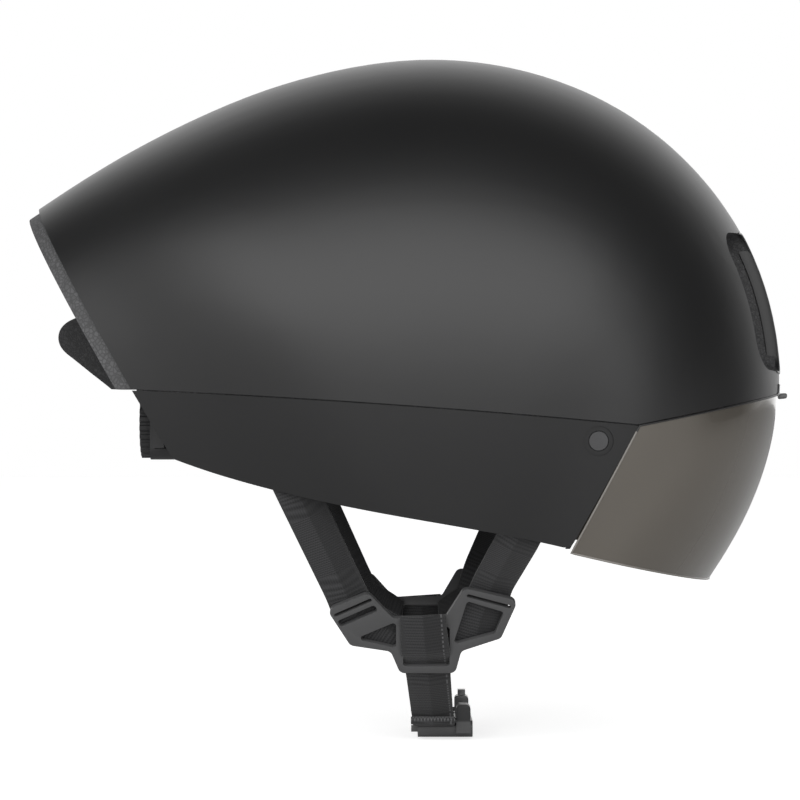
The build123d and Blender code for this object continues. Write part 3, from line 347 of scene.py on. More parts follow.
PLASTICS = {
    # Dark and light tone, roughness, grain scale, cloud scale, grain depth, grain strength
    "satin_black_shell": (
        grey(0.0052, 0.0055), grey(0.0070, 0.0074), (0.38, 0.44), 1500, 12, 0.00001, 0.12),
    # The rolled lip is the shell's own lacquer painted much lighter: a painted highlight along the vent
    # edges.
    "shell_lip_painted_highlight": (
        grey(0.040, 0.041), grey(0.055, 0.056), (0.26, 0.34), 1500, 40, 0.00001, 0.12),
    "matte_charcoal_panel": (
        grey(0.0105, 0.011), grey(0.0145, 0.015), (0.52, 0.60), 3000, 20, 0.00002, 0.25),
    "moulded_dark_plastic": (
        grey(0.020, 0.021), grey(0.032, 0.033), (0.42, 0.55), 2200, 60, 0.00003, 0.35),
    "moulded_grey_plastic": (
        grey(0.070, 0.071), grey(0.092, 0.094), (0.40, 0.52), 2400, 70, 0.00003, 0.35),
    "grey_gear_nylon": (
        grey(0.11, 0.115), grey(0.15, 0.155), (0.35, 0.48), 2600, 90, 0.00002, 0.3),
    "black_fit_nylon": (
        grey(0.016, 0.017), grey(0.026, 0.027), (0.38, 0.50), 2300, 80, 0.00002, 0.3),
    "soft_touch_dial": (
        grey(0.018, 0.019), grey(0.030, 0.031), (0.58, 0.70), 3200, 120, 0.00004, 0.4),
    "satin_stud": (
        grey(0.055, 0.057), grey(0.072, 0.074), (0.26, 0.34), 2600, 150, 0.00001, 0.2),
    "grey_tab_plastic": (
        grey(0.115, 0.118), grey(0.145, 0.148), (0.35, 0.45), 2400, 110, 0.00002, 0.3),
}
for name, values in PLASTICS.items():
    _, shader, _ = plain_finish(name, *values)
    if name == "satin_black_shell":
        shader.inputs["Specular IOR Level"].default_value = 0.75
print("plastic finishes:", len(PLASTICS))

# %% [markdown]
# The buckle's body is grey at its base and black above a set height, where its hook stands.
# The turn is at a height, so the Z of Object coordinates makes it.

# %% Two-tone buckle
HOOK_FOOT = -0.1374
HOOK_BLEND = 0.0008

tree, shader, place = plain_finish(
    "moulded_buckle_plastic",
    grey(0.072, 0.073), grey(0.094, 0.096), (0.36, 0.48), 2400, 70, 0.00003, 0.35)
base_colour = shader.inputs["Base Color"].links[0].from_socket
axes = tree.nodes.new("ShaderNodeSeparateXYZ")
link(tree, place.outputs["Object"], axes.inputs[0])
on_hook = map_range(tree, axes.outputs[2], from_min=HOOK_FOOT, from_max=HOOK_FOOT + HOOK_BLEND)
two_tone = mix_colour(tree, on_hook, base_colour, grey(0.017, 0.018))
link(tree, two_tone, shader.inputs["Base Color"])
print("two-tone buckle made")

# %% [markdown]
# ## Foam finishes
# The beads give the foam's cut faces their speckle. The liner is dark foam, and at the tail its
# bare rim is painted paler, painted light as on a lit copy of the same foam, so its tones change
# along X. The fin's foam is given darker tones.

# %% Foams
CRACK_SHADE = 0.7
PAINTED_LIT_RIM_FROM = -0.085
PAINTED_LIT_RIM_FULL = -0.100


def bead_colour(tree, node, dark, light):
    toned = mix_colour(tree, node.outputs["Tone"], dark, light)
    crack = tuple(value * CRACK_SHADE for value in dark)
    return mix_colour(tree, node.outputs["Height"], crack, toned)


def foam_finish(name, dark, light, painted_glint, bead_scale, depth, painted_lit_rim_tones=None):
    tree, shader, place, _ = start_finish(name, (0.62, 0.80), 30)
    node = tree.nodes.new("ShaderNodeGroup")
    node.node_tree = beads
    node.inputs["Bead Scale"].default_value = bead_scale
    link(tree, place.outputs["Object"], node.inputs["Vector"])
    colour = bead_colour(tree, node, dark, light)
    # The painted glint: lighter specks mixed in as painted highlights.
    colour = mix_colour(tree, node.outputs["Painted Glint"], colour, painted_glint)
    # Painted light: towards the tail rim the same foam turns to paler tones, as if lit.
    if painted_lit_rim_tones is not None:
        axes = tree.nodes.new("ShaderNodeSeparateXYZ")
        link(tree, place.outputs["Object"], axes.inputs[0])
        painted_lit_rim_share = map_range(tree, axes.outputs[0], from_min=PAINTED_LIT_RIM_FROM, from_max=PAINTED_LIT_RIM_FULL)
        colour = mix_colour(tree, painted_lit_rim_share, colour, bead_colour(tree, node, *painted_lit_rim_tones))
    link(tree, colour, shader.inputs["Base Color"])
    bump(tree, node.outputs["Height"], depth, 0.5, shader)


foam_finish(
    "beaded_liner_foam", grey(0.042, 0.043), grey(0.062, 0.064), grey(0.11, 0.113), 620, 0.00012,
    painted_lit_rim_tones=(grey(0.085, 0.087), grey(0.115, 0.118)))
foam_finish(
    "beaded_tail_foam", grey(0.022, 0.023), grey(0.036, 0.037), grey(0.070, 0.072), 760, 0.0001)
print("foam finishes made")

# %% [markdown]
# ## Lens and metal finishes
# The lens is smoke with a thin bronze mirror: partly metallic, very smooth, with a clear
# coat. Its cut edge gets a paler, plain finish, a painted highlight for the light it catches.
# The magnets are brushed nickel, the screw is black.

# %% Lens and metals
_, shader, _ = plain_finish(
    "bronze_mirror_lens",
    (0.128, 0.115, 0.098), (0.142, 0.128, 0.109), (0.14, 0.18), 900, 8, 0.000005, 0.05)
shader.inputs["Metallic"].default_value = 0.42
shader.inputs["Coat Weight"].default_value = 0.6
shader.inputs["Coat Roughness"].default_value = 0.06
plain_finish(
    "lens_rim_painted_highlight",
    (0.20, 0.19, 0.175), (0.24, 0.225, 0.205), (0.20, 0.28), 900, 60, 0.000005, 0.05)
_, shader, _ = plain_finish(
    "brushed_nickel",
    (0.52, 0.51, 0.50), (0.62, 0.61, 0.60), (0.22, 0.36), 1800, 300, 0.00001, 0.2)
shader.inputs["Metallic"].default_value = 1.0
_, shader, _ = plain_finish(
    "blackened_screw",
    grey(0.10, 0.105), grey(0.15, 0.155), (0.30, 0.42), 1800, 400, 0.00001, 0.2)
shader.inputs["Metallic"].default_value = 0.9
print("lens and metal finishes made")

# %% [markdown]
# ## Cloth finishes
# The pads have a brushed knit face: tiny loops, made of small Voronoi cells, and a sheen.

# %% Pad cloth
tree, shader, place, group = start_finish("brushed_pad_cloth", (0.85, 0.95), 90)
cloth_colour = mix_colour(tree, group.outputs["Cloud"], grey(0.010, 0.011), grey(0.020, 0.021))
link(tree, cloth_colour, shader.inputs["Base Color"])
shader.inputs["Sheen Weight"].default_value = 0.35
shader.inputs["Sheen Roughness"].default_value = 0.5
loops = tree.nodes.new("ShaderNodeTexVoronoi")
loops.inputs["Scale"].default_value = 1100.0
link(tree, place.outputs["Object"], loops.inputs["Vector"])
bump(tree, loops.outputs["Distance"], 0.0002, 0.5, shader)
print("pad cloth made")

# %% [markdown]
# The webbing has the herringbone. One half of the V lies the other way, so it takes the light
# less: it gets a darker colour, painted shade, and the other half a lighter one, painted light.
# The tighter edge is even, and the chin straps also show their stitches.

# %% Webbing
def webbing_finish(name, stitched):
    tree, shader, place, _ = start_finish(name, (0.60, 0.74), 60)
    shader.inputs["Sheen Weight"].default_value = 0.2
    node = tree.nodes.new("ShaderNodeGroup")
    node.node_tree = weave
    link(tree, place.outputs["UV"], node.inputs["Vector"])
    height = node.outputs["Height"]
    # Painted light and shade: the two halves of the V get a lit and a shaded copy of the same black.
    painted_lit_half = mix_colour(tree, height, grey(0.008, 0.009), grey(0.040, 0.042))
    painted_shaded_half = mix_colour(tree, height, grey(0.006, 0.007), grey(0.019, 0.020))
    colour = mix_colour(tree, node.outputs["Half"], painted_lit_half, painted_shaded_half)
    colour = mix_colour(tree, node.outputs["Edge"], colour, grey(0.022, 0.023))
    if stitched:
        colour = mix_colour(tree, node.outputs["Stitch"], colour, grey(0.095, 0.098))
        colour = mix_colour(tree, node.outputs["Zigzag"], colour, grey(0.105, 0.108))
    link(tree, colour, shader.inputs["Base Color"])
    bump(tree, height, 0.0002, 0.5, shader)


webbing_finish("black_plain_webbing", False)
webbing_finish("black_sewn_webbing", True)
print("finishes in all:", len(finishes))

# %% [markdown]
# ## Finishes on the solids
# Solids whose shape is right as it is only need a finish in their slot.

# %% Dress the solids
DRESS = {
    "satin_black_shell": ["outer_shell"],
    "matte_charcoal_panel": ["ear_panel_right", "ear_panel_left"],
    "satin_stud": ["panel_studs"],
    "bronze_mirror_lens": ["visor_lens"],
    "beaded_liner_foam": ["foam_liner"],
    "beaded_tail_foam": ["tail_diffuser"],
    "moulded_dark_plastic": ["brow_dock", "side_dock_right", "side_dock_left"],
    "brushed_nickel": ["visor_magnets", "dock_magnets", "body_magnet", "tongue_magnet"],
    "blackened_screw": ["dial_screw"],
    "grey_gear_nylon": ["dial_pinion", "strap_anchors"],
    "black_fit_nylon": [
        "rack_right", "rack_left", "temple_pivot_right", "temple_pivot_left",
        "temple_eye_right", "temple_eye_left", "cradle_cover", "cradle_housing",
    ],
}


def dress(piece, finish_name):
    piece.data.materials.clear()
    piece.data.materials.append(finishes[finish_name])


for finish_name, node_names in DRESS.items():
    for node_name in node_names:
        solid = frame["nodes"][node_name]
        if not solid.material_slots:
            solid.data.materials.append(finishes[finish_name])
        for material_slot in solid.material_slots:
            material_slot.material = finishes[finish_name]
    print(finish_name, "on", ", ".join(node_names))

# %% [markdown]
# ## Softened mouldings
# Injection-moulded parts have small rounded edges that catch light as thin lines. A copy of
# the solid is merged, its flat faces are joined again, and a bevel rounds what is left sharp.

# %% Copy of a solid
def copy_of(node_name, new_name):
    source = frame["nodes"][node_name]
    select_only(source)
    bpy.ops.object.duplicate()
    piece = bpy.context.object
    piece.name = new_name
    piece.parent = None
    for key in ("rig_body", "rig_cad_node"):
        if key in piece:
            del piece[key]
    piece.data.materials.clear()
    bpy.ops.object.mode_set(mode="EDIT")
    bpy.ops.mesh.select_all(action="SELECT")
    bpy.ops.mesh.remove_doubles(threshold=0.000002)
    bpy.ops.object.mode_set(mode="OBJECT")
    return piece


print("copies are merged within 2 micrometres")

# %% Soften the mouldings
FLAT_WITHIN = math.radians(1.5)
SHARP_FROM = math.radians(32)
BUCKLE_REAR = -0.0176


def soften(node_name, body, finish_name, radius, segments=3, cut_x=None):
    piece = copy_of(node_name, "soft_" + node_name)
    bpy.ops.object.mode_set(mode="EDIT")
    bpy.ops.mesh.select_all(action="SELECT")
    if cut_x is not None:
        bpy.ops.mesh.bisect(
            plane_co=(cut_x, 0, 0), plane_no=(1, 0, 0), use_fill=True, clear_inner=True)
        bpy.ops.mesh.select_all(action="SELECT")
    bpy.ops.mesh.dissolve_limited(angle_limit=FLAT_WITHIN)
    bpy.ops.object.mode_set(mode="OBJECT")
    rounding = piece.modifiers.new("edge_rounding", "BEVEL")
    rounding.width = radius
    rounding.segments = segments
    rounding.limit_method = "ANGLE"
    rounding.angle_limit = SHARP_FROM
    apply_modifiers(piece)
    smooth_by_angle(piece, 40)
    dress(piece, finish_name)
    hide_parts(node_name)
    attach(piece, body)
    print(piece.name, len(piece.data.polygons), "faces")


for side, _ in SIDES:
    soften("strap_divider_" + side, "helmet", "moulded_grey_plastic", 0.0008)
soften("buckle_body", "helmet", "moulded_buckle_plastic", 0.0014, 4, BUCKLE_REAR)
soften("buckle_tongue", "tongue", "satin_stud", 0.0008, cut_x=BUCKLE_REAR)
soften("fit_dial", "dial", "soft_touch_dial", 0.0005, 2)
soften("visor_tab", "visor", "grey_tab_plastic", 0.0009, 4)

# %% [markdown]
# ## Flat bands
# Webbing and fit bands are flat strips that bend but hardly stretch, and a simulation would
# only make them lumpy. Each starts as a plane whose end edge is extruded from station to
# station; subdivision rounds the turns, and Solidify gives the wall. The stations below are
# for the right side, in millimetres: where the band's middle is, and which way is across it.

# %% Stations of the bands
WEBBING_WIDTH = 16.0
WEBBING_WALL = 1.2
FIT_WIDTH = 8.0
FIT_WALL = 1.6

STRAPS = {
    "front_strap": {
        "path": [(28.6, -83.2, -49.0), (22.4, -83.2, -61.9), (12.9, -60.4, -81.2),
                 (9.0, -54.0, -94.6), (-5.8, -50.95, -100.9)],
        "across": [(0.9, 0, -0.436), (0.9, 0, -0.436), (0.969, 0.111, -0.227),
                   (0.76, 0.285, -0.584), (0.1, 0.436, -0.894)],
        "widths": [WEBBING_WIDTH] * 3 + [17, 12],
        "skewed": True,
        "straight_from": 2,
    },
    "rear_strap": {
        "path": [(-66.5, -72.8, -33.0), (-60.3, -72.8, -45.9), (-42.2, -59.0, -84.8),
                 (-38.9, -55.0, -93.0), (-21.3, -51.3, -100.6)],
        "across": [(0.9, 0, 0.436), (0.9, 0, 0.436), (0.9, -0.192, 0.394),
                   (0.74, -0.294, 0.602), (0.146, -0.434, 0.889)],
        "widths": [WEBBING_WIDTH] * 3 + [18, 12.3],
        "skewed": True,
    },
    "chin_strap": {
        "path": [(-13.4, -59.55, -92.8), (-12.2, -52.2, -107.9), (-11.6, -46.6, -110.3),
                 (-11.2, -44.1, -115.3), (-8.9, -22.9, -137.8), (-8.9, -22.2, -138.2),
                 (-8.9, -21.3, -138.2), (-8.9, -20.6, -137.7), (-8.9, -20.2, -137.0),
                 (-8.9, -20.2, -136.1), (-8.9, -20.7, -135.4), (-8.9, -25.0, -131.3)],
        "across": [(1, 0, 0)] * 12,
        "widths": [17, 18.8, 18.8, 17.2] + [WEBBING_WIDTH] * 8,
    },
    "fit_band": {
        "path": [(33.7, -75.7, 6.9), (15.4, -77.1, 3.5), (-5.1, -77.9, -0.2),
                 (-25.6, -75.5, -3.9), (-46.1, -69.6, -7.6), (-63.6, -61.2, -10.8),
                 (-75.9, -52.4, -13.0), (-86.1, -47.5, -14.9), (-96.0, -43.9, -16.6),
                 (-106.4, -41.4, -18.5), (-115.6, -39.4, -20.2)],
        "across": [(0, 0, 1)] * 11,
        "widths": [FIT_WIDTH] * 11,
    },
}
print("kinds of band:", ", ".join(STRAPS))

# %% [markdown]
# A long run between two stations would bend all along its length. So each gets two more
# stations, close to its ends, which keep the bends tight. The last section of a strap may be
# skewed, because the strap goes through its slot at a slant.

# %% Sections of a band
BEND_REACH = 5.0
LONG_RUN = 2.4 * BEND_REACH


def with_bend_points(path, across, widths):
    stations = [(Vector(p), Vector(a), w) for p, a, w in zip(path, across, widths)]
    more = [stations[0]]
    for before, here in zip(stations, stations[1:]):
        run = (here[0] - before[0]).length
        if run > LONG_RUN:
            for share in (BEND_REACH / run, 1 - BEND_REACH / run):
                spot = before[0].lerp(here[0], share)
                way = before[1].lerp(here[1], share)
                more.append((spot, way, before[2] + (here[2] - before[2]) * share))
        more.append(here)
    return [s[0] for s in more], [s[1] for s in more], [s[2] for s in more]


def section_ends(points, ways, place, width, skewed):
    """The two edge points of a section in metres, and how far each lies along the band."""
    before = points[max(0, place - 1)]
    after = points[min(len(points) - 1, place + 1)]
    along_way = (after - before).normalized()
    side_way = ways[place].normalized()
    if not (skewed and place == len(points) - 1):
        side_way = (side_way - along_way * side_way.dot(along_way)).normalized()
    ends = []
    for reach in (-width / 2, width / 2):
        ends.append(((points[place] + side_way * reach) / 1000, reach * side_way.dot(along_way)))
    return ends


print("a run longer than", LONG_RUN, "mm gets two more stations")


# %% Extrude a band
def set_row(row, section):
    for corner, (spot, _) in zip(row, section):
        corner.co = spot


def extruded_band(name, sections):
    """A strip of faces through all sections, left in edit mode, its shape and its rows."""
    bpy.ops.object.select_all(action="DESELECT")
    bpy.ops.mesh.primitive_plane_add(size=0.01)
    band = bpy.context.object
    band.name = name
    bpy.ops.object.mode_set(mode="EDIT")
    shape = bmesh.from_edit_mesh(band.data)
    corners = sorted(shape.verts, key=lambda v: (v.co.y, v.co.x))
    rows = [corners[:2], corners[2:]]
    for row, section in zip(rows, sections):
        set_row(row, section)
    for section in sections[2:]:
        bpy.ops.mesh.select_all(action="DESELECT")
        shape = bmesh.from_edit_mesh(band.data)
        first_spot = rows[-1][0].co.copy()
        for corner in rows[-1]:
            corner.select = True
        shape.select_flush(True)
        bmesh.update_edit_mesh(band.data)
        bpy.ops.mesh.extrude_region_move(TRANSFORM_OT_translate={"value": (0, 0, 0)})
        shape = bmesh.from_edit_mesh(band.data)
        fresh = [corner for corner in shape.verts if corner.select]
        fresh.sort(key=lambda corner: (corner.co - first_spot).length)
        set_row(fresh, section)
        rows.append(fresh)
        bmesh.update_edit_mesh(band.data)
    return band, shape, rows


print("bands are extruded row by row")

# %% [markdown]
# The map's first axis is millimetres across the band, and its second is millimetres along.
# Where the front straps lie flat behind the leaning dividers, their map is laid square to
# that plane, so that the weave runs straight behind the divider's window.

# %% Map a band
DIVIDER_LEAN = math.radians(26)


def straight_ways(points, ways, start):
    """Across and along, as two square directions in the leaning plane from one station on."""
    side_way = ways[start].normalized()
    along_way = (points[start] - points[start - 1]).normalized()
    down = Vector((along_way.x, math.sin(DIVIDER_LEAN), -math.cos(DIVIDER_LEAN)))
    return side_way, (down - side_way * side_way.dot(down)).normalized()


def lay_map(shape, rows, points, ways, widths, sections, first_length, start):
    lengths = [first_length]
    for before, here in zip(points, points[1:]):
        lengths.append(lengths[-1] + (here - before).length)
    where = {}
    for row, length, width, section in zip(rows, lengths, widths, sections):
        for corner, sign, (_, offset) in zip(row, (-1, 1), section):
            where[tuple(corner.co)] = (sign * width / 2, length + offset)
    if start is not None:
        side_way, along_way = straight_ways(points, ways, start)
        for row in rows[start + 1:]:
            for corner in row:
                away = corner.co * 1000 - points[start]
                where[tuple(corner.co)] = (away.dot(side_way), lengths[start] + away.dot(along_way))
    map_layer = shape.loops.layers.uv.verify()
    for face in shape.faces:
        for corner in face.loops:
            corner[map_layer].uv = where[tuple(corner.vert.co)]


print("the dividers lean by", round(math.degrees(DIVIDER_LEAN)), "degrees")


# %% Make one band
def finish_band(band, wall, levels):
    rounding = band.modifiers.new("turn_rounding", "SUBSURF")
    rounding.levels = rounding.render_levels = levels
    rounding.boundary_smooth = "PRESERVE_CORNERS"
    rounding.uv_smooth = "NONE"
    thickness = band.modifiers.new("wall", "SOLIDIFY")
    thickness.thickness = wall / 1000
    thickness.offset = 0
    edge = band.modifiers.new("edge_rounding", "BEVEL")
    edge.width = 0.3 * wall / 1000
    edge.segments = 2
    edge.limit_method = "ANGLE"
    apply_modifiers(band)
    smooth_by_angle(band, 50)


def flat_band(name, path, across, widths, wall, levels=2, skewed=False, first_length=0.0,
              straight_from=None):
    points, ways, widths = with_bend_points(path, across, widths)
    sections = [
        section_ends(points, ways, place, width, skewed) for place, width in enumerate(widths)]
    start = None
    if straight_from is not None:
        start = points.index(Vector(path[straight_from]))
    band, shape, rows = extruded_band(name, sections)
    lay_map(shape, rows, points, ways, widths, sections, first_length, start)
    bmesh.update_edit_mesh(band.data)
    bpy.ops.object.mode_set(mode="OBJECT")
    finish_band(band, wall, levels)
    return band


print("band maker ready")

# %% [markdown]
# The right chin strap ends in a roll round the buckle's bar, sewn down by the zigzag. The
# roll is one more band, a spiral worked out by a loop, joined to the strap. The other straps
# ride with the helmet. On the helmet the left chin strap follows the buckle's tongue when it
# slides out, and the fit bands follow the cradle as the dial draws it in, but here these are
# left in place, attached to no body.

# %% Sewn roll
ROLL_MIDDLE = Vector((-9.1, -27.7, -136.1))
ROLL_STATIONS = 10
ROLL_RADIUS = 1.10
ROLL_SHRINK = 0.03
ROLL_START = 40
ROLL_TURN = 42
ROLL_WIDTH = 17.2
ROLL_MAP_START = 100.0


def sewn_roll():
    path = []
    for step in range(ROLL_STATIONS):
        angle = math.radians(ROLL_START + ROLL_TURN * step)
        radius = ROLL_RADIUS - ROLL_SHRINK * step
        path.append(ROLL_MIDDLE + radius * Vector((0, math.cos(angle), math.sin(angle))))
    return flat_band(
        "sewn_roll", path, [(1, 0, 0)] * ROLL_STATIONS, [ROLL_WIDTH] * ROLL_STATIONS,
        WEBBING_WALL, first_length=ROLL_MAP_START)


print("the roll has", ROLL_STATIONS, "stations")


# %% Make the bands
def mirrored(points, sign):
    return [(x, -sign * y, z) for x, y, z in points]


def hand_over(band, node_name, finish_name):
    dress(band, finish_name)
    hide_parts(node_name)
    print(band.name, len(band.data.polygons), "faces")


for strap_name in ("front_strap", "rear_strap", "chin_strap"):
    stations = STRAPS[strap_name]
    finish_name = "black_sewn_webbing" if strap_name == "chin_strap" else "black_plain_webbing"
    for side, sign in SIDES:
        node_name = strap_name + "_" + side
        band = flat_band(
            "woven_" + node_name, mirrored(stations["path"], sign),
            mirrored(stations["across"], sign), stations["widths"], WEBBING_WALL,
            skewed=stations.get("skewed", False), straight_from=stations.get("straight_from"))
        if node_name == "chin_strap_right":
            roll = sewn_roll()
            select_only(band)
            roll.select_set(True)
            bpy.ops.object.join()
        hand_over(band, node_name, finish_name)
        if node_name == "chin_strap_left":
            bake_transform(band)
        else:
            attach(band, "helmet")

stations = STRAPS["fit_band"]
for side, sign in SIDES:
    band = flat_band(
        "bent_fit_band_" + side, mirrored(stations["path"], sign), stations["across"],
        stations["widths"], FIT_WALL)
    hand_over(band, "fit_band_" + side, "black_fit_nylon")
    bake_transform(band)

# %% [markdown]
# ## Vent skins
# The shell's skin turns in at each vent: it lines the rib between the vents, and its edge is
# rolled. The rib's skin is one more flat band, laid on stations that a ray finds on the
# shell. The rib widens towards the back, so the skin slants with it.

# %% Rib skins
RIB_SIDE = 9.55
RIB_SPREAD = 0.13
RIB_FRONT = 122.9
SKIN_DEEP = 4.4
SKIN_WALL = 0.5
SKIN_INSET = 0.4
SKIN_FOOT = -0.0025
SKIN_STEP = 0.0052
SKIN_STATIONS = 12

shell = frame["nodes"]["outer_shell"]


def front_of_shell(beside, height):
    """Where a ray from the front meets the shell, and the way out of it, in millimetres."""
    _, place, normal, _ = shell.ray_cast(Vector((0.5, beside, height)), Vector((-1, 0, 0)))
    return place * 1000, Vector((normal.x, 0, normal.z)).normalized()


for side, sign in SIDES:
    path, ways = [], []
    for step in range(SKIN_STATIONS):
        place, outward = front_of_shell(sign * 0.003, SKIN_FOOT + SKIN_STEP * step)
        middle = place - outward * (SKIN_INSET + SKIN_DEEP / 2)
        beside = RIB_SIDE + RIB_SPREAD * (RIB_FRONT - middle.x)
        path.append((middle.x, sign * beside, middle.z))
        ways.append(outward - Vector((0, sign * RIB_SPREAD, 0)))
    skin = flat_band("rib_skin_" + side, path, ways, [SKIN_DEEP] * SKIN_STATIONS, SKIN_WALL, levels=1)
    dress(skin, "satin_black_shell")
    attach(skin, "helmet")
    print(skin.name, len(skin.data.polygons), "faces")

# %% [markdown]
# ## Edge beads
# A rolled edge is a thin bead, too small to model face by face. The sharp outer edges of the
# solid are picked in a copy, parted from it, made a curve, and the curve gets a bevel.

# %% Bead maker
BEAD_SHARP = math.radians(35)
FACES_OUT = 0.6


def edge_bead(node_name, new_name, wanted, radius):
    """A bead along the sharp outer edges of a solid that are wanted."""
    piece = copy_of(node_name, new_name)
    bpy.ops.object.mode_set(mode="EDIT")
    bpy.ops.mesh.select_mode(type="EDGE")
    bpy.ops.mesh.select_all(action="DESELECT")
    shape = bmesh.from_edit_mesh(piece.data)
    for edge in shape.edges:
        if len(edge.link_faces) != 2 or edge.calc_face_angle() < BEAD_SHARP:
            continue
        middle = (edge.verts[0].co + edge.verts[1].co) / 2
        outward = middle.normalized()
        faces_out = max(face.normal.dot(outward) for face in edge.link_faces) > FACES_OUT
        edge.select = faces_out and wanted(middle)
    bmesh.update_edit_mesh(piece.data)
    bpy.ops.mesh.duplicate()
    bpy.ops.mesh.separate(type="SELECTED")
    bpy.ops.object.mode_set(mode="OBJECT")
    bead = [one for one in bpy.context.selected_objects if one != piece][0]
    bpy.data.objects.remove(piece)
    select_only(bead)
    bead.name = new_name
    bpy.ops.object.convert(target="CURVE")
    bead.data.bevel_depth = radius
    bead.data.bevel_resolution = 3
    bead.data.use_fill_caps = True
    bpy.ops.object.convert(target="MESH")
    bpy.ops.object.shade_smooth()
    return bpy.context.object


def dress_bead(bead, finish_name, body):
    dress(bead, finish_name)
    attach(bead, body)
    print(bead.name, len(bead.data.polygons), "faces")


print("bead maker ready")

# %% Rolled vent edges
VENT_BACK = 0.09
VENT_ACROSS = (0.0070, 0.028)
VENT_UP = (-0.0095, 0.062)


def beside_vent(sign):
    """A test for the spots round the vent on one side."""
    def wanted(spot):
        within = VENT_ACROSS[0] < sign * spot.y < VENT_ACROSS[1]
        return spot.x > VENT_BACK and within and VENT_UP[0] < spot.z < VENT_UP[1]

    return wanted


for side, sign in SIDES:
    # The vent-edge beads take a much paler lacquer than the shell, a painted highlight.
    bead = edge_bead("outer_shell", "vent_edge_" + side, beside_vent(sign), 0.00045)
    dress_bead(bead, "shell_lip_painted_highlight", "helmet")

# %% [markdown]
# The lens is cut from a thicker sheet. Along its rear and lower edges a pale bead is a painted
# highlight, the one pale line its cut edge shows. Along its upper edge, under the shell, a black
# bead is painted shade in the seam, and it also closes most of the seam.

# %% Lens edges
LENS_CORNER = Vector((0.0661, 0, -0.0201))
LENS_SLOPE = 0.193
SEAM_CLEAR = 0.0015
LENS_BEAD = 0.0004


def rear_or_low(spot):
    """True away from the seam under the shell."""
    seam = LENS_CORNER.z + LENS_SLOPE * (spot.x - LENS_CORNER.x)
    return spot.z < seam - SEAM_CLEAR


def under_seam(spot):
    return not rear_or_low(spot)


# Painted highlight: a pale bead along the rear and lower cut edges.
bead = edge_bead("visor_lens", "lens_edge", rear_or_low, LENS_BEAD)
dress_bead(bead, "lens_rim_painted_highlight", "visor")
# Painted shade: a black bead along the upper edge, in the seam under the shell.
bead = edge_bead("visor_lens", "lens_top_painted_shade", under_seam, LENS_BEAD)
dress_bead(bead, "satin_black_shell", "visor")

# %% [markdown]
# ## Pads
# Each pad is a thin cushion of open foam in brushed cloth, held inside the foam liner. A
# cloth simulation could fill it, but it is thin and hidden, so a copy of its solid is
# remeshed into small even faces and smoothed: its edges pull in and its middle stays full.

# %% Make the pads
PAD_VOXEL = 0.0009
PAD_SMOOTHING = 14
HEAD_PADS = (
    "brow_pad", "crown_pad_centre", "crown_pad_right", "crown_pad_left", "side_pad_right",
    "side_pad_left",
)
NAPE_PADS = ("nape_pad_right", "nape_pad_left")


def cushion(node_name, body):
    piece = copy_of(node_name, "padded_" + node_name)
    even = piece.modifiers.new("even_faces", "REMESH")
    even.mode = "VOXEL"
    even.voxel_size = PAD_VOXEL
    soft = piece.modifiers.new("pulled_edges", "SMOOTH")
    soft.factor = 0.5
    soft.iterations = PAD_SMOOTHING
    apply_modifiers(piece)
    bpy.ops.object.shade_smooth()
    dress(piece, "brushed_pad_cloth")
    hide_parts(node_name)
    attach(piece, body)
    print(piece.name, len(piece.data.polygons), "faces")


for node_name in HEAD_PADS:
    cushion(node_name, "helmet")
for node_name in NAPE_PADS:
    cushion(node_name, "cradle")

# %% [markdown]
# ## Studio
# A pale floor under the helmet. What the camera sees of it is lifted to white by a little
# emission for camera rays alone, so it keeps the helmet's shadow and lights nothing.

# %% Floor
FLOOR_HEIGHT = -0.1445
FLOOR_LIFT = 0.72

bpy.ops.object.select_all(action="DESELECT")
bpy.ops.mesh.primitive_plane_add(size=8, location=(0, 0, FLOOR_HEIGHT))
floor = bpy.context.object
floor.name = "studio_floor"
floor_finish = bpy.data.materials.new("pale_floor")
floor_finish.use_nodes = True
tree = floor_finish.node_tree
shader = tree.nodes["Principled BSDF"]
shader.inputs["Base Color"].default_value = (0.80, 0.80, 0.80, 1)
shader.inputs["Roughness"].default_value = 0.9
shader.inputs["Emission Color"].default_value = (1, 1, 1, 1)
seen = tree.nodes.new("ShaderNodeLightPath")
lift = calculator(tree)("MULTIPLY", seen.outputs["Is Camera Ray"], FLOOR_LIFT)
link(tree, lift, shader.inputs["Emission Strength"])
floor.data.materials.append(floor_finish)
print("floor at", FLOOR_HEIGHT)

# %% [markdown]
# The surround is white for the camera. For reflections it is bright on the far side and
# dark on the near one, as in a studio with a lit back wall: a surface seen at a grazing
# angle takes the bright part, so the crown gets its pale line and the side stays dark.

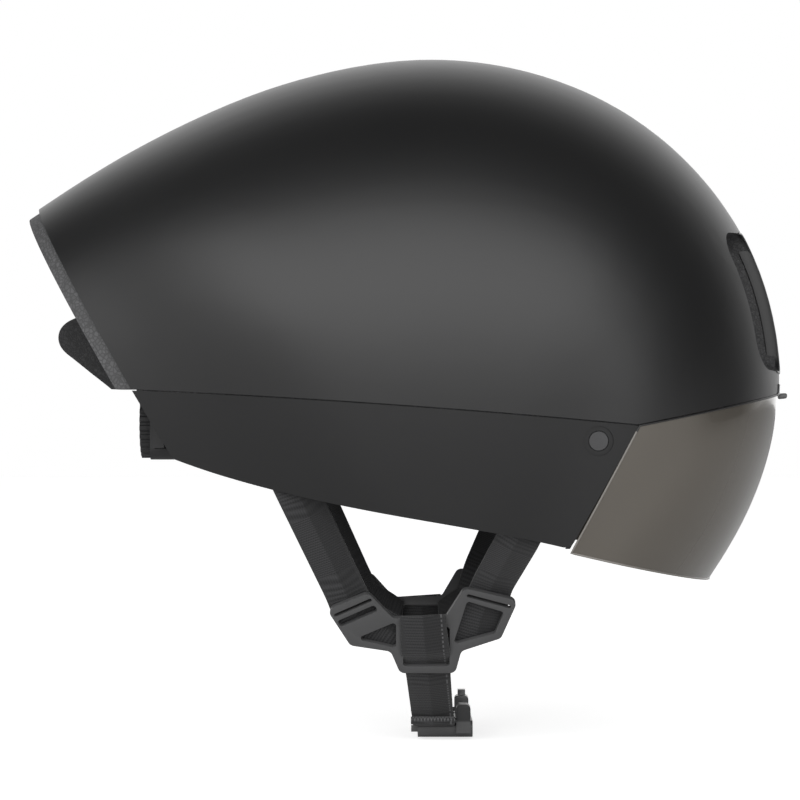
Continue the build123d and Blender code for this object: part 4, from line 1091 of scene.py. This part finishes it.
# %% Surround
AMBIENT = 0.32

world = bpy.data.worlds.new("white_surround")
bpy.context.scene.world = world
world.use_nodes = True
tree = world.node_tree
calculate = calculator(tree)
background = tree.nodes["Background"]
rays = tree.nodes.new("ShaderNodeLightPath")
sky = tree.nodes.new("ShaderNodeTexCoord")
way = tree.nodes.new("ShaderNodeSeparateXYZ")
link(tree, sky.outputs["Generated"], way.inputs[0])
far_side = map_range(tree, way.outputs[1], from_min=0.25, from_max=1.0, to_min=0.05, to_max=1.5)
far_side.node.interpolation_type = "SMOOTHSTEP"
glossy = rays.outputs["Is Glossy Ray"]
shows = calculate("MAXIMUM", rays.outputs["Is Camera Ray"], rays.outputs["Is Transmission Ray"])
shine = calculate("MULTIPLY", glossy, far_side)
ambient = calculate("MULTIPLY", calculate("SUBTRACT", 1.0, glossy), AMBIENT)
level = calculate("MAXIMUM", calculate("MAXIMUM", shows, shine), ambient)
background.inputs["Color"].default_value = (1, 1, 1, 1)
link(tree, level, background.inputs["Strength"])
print("surround:", world.name)

# %% [markdown]
# One broad soft light stands by the camera and above it. It gives the shell's side its wide,
# soft highlight. The camera looks level at the helmet's right side, as the photograph does.

# %% Light
LIGHT_PLACE = Vector((-0.30, -1.65, 0.75))
LIGHT_AIM = Vector((-0.03, 0, 0.02))

bpy.ops.object.select_all(action="DESELECT")
bpy.ops.object.light_add(type="AREA", location=LIGHT_PLACE)
lamp = bpy.context.object
lamp.name = "side_light"
lamp.data.shape = "RECTANGLE"
lamp.data.size = 4.6
lamp.data.size_y = 1.7
lamp.data.energy = 46
lamp.rotation_euler = (LIGHT_AIM - LIGHT_PLACE).to_track_quat("-Z", "Y").to_euler()
print(lamp.name, lamp.data.energy, "watts")

# %% Camera
bpy.ops.object.camera_add(location=(-0.022, -1.2, -0.0108), rotation=(math.radians(90), 0, 0))
camera = bpy.context.object
camera.data.lens = 135
camera.data.sensor_width = 36
bpy.context.scene.camera = camera
bpy.context.scene.view_settings.view_transform = "Standard"
print("camera at", tuple(camera.location))
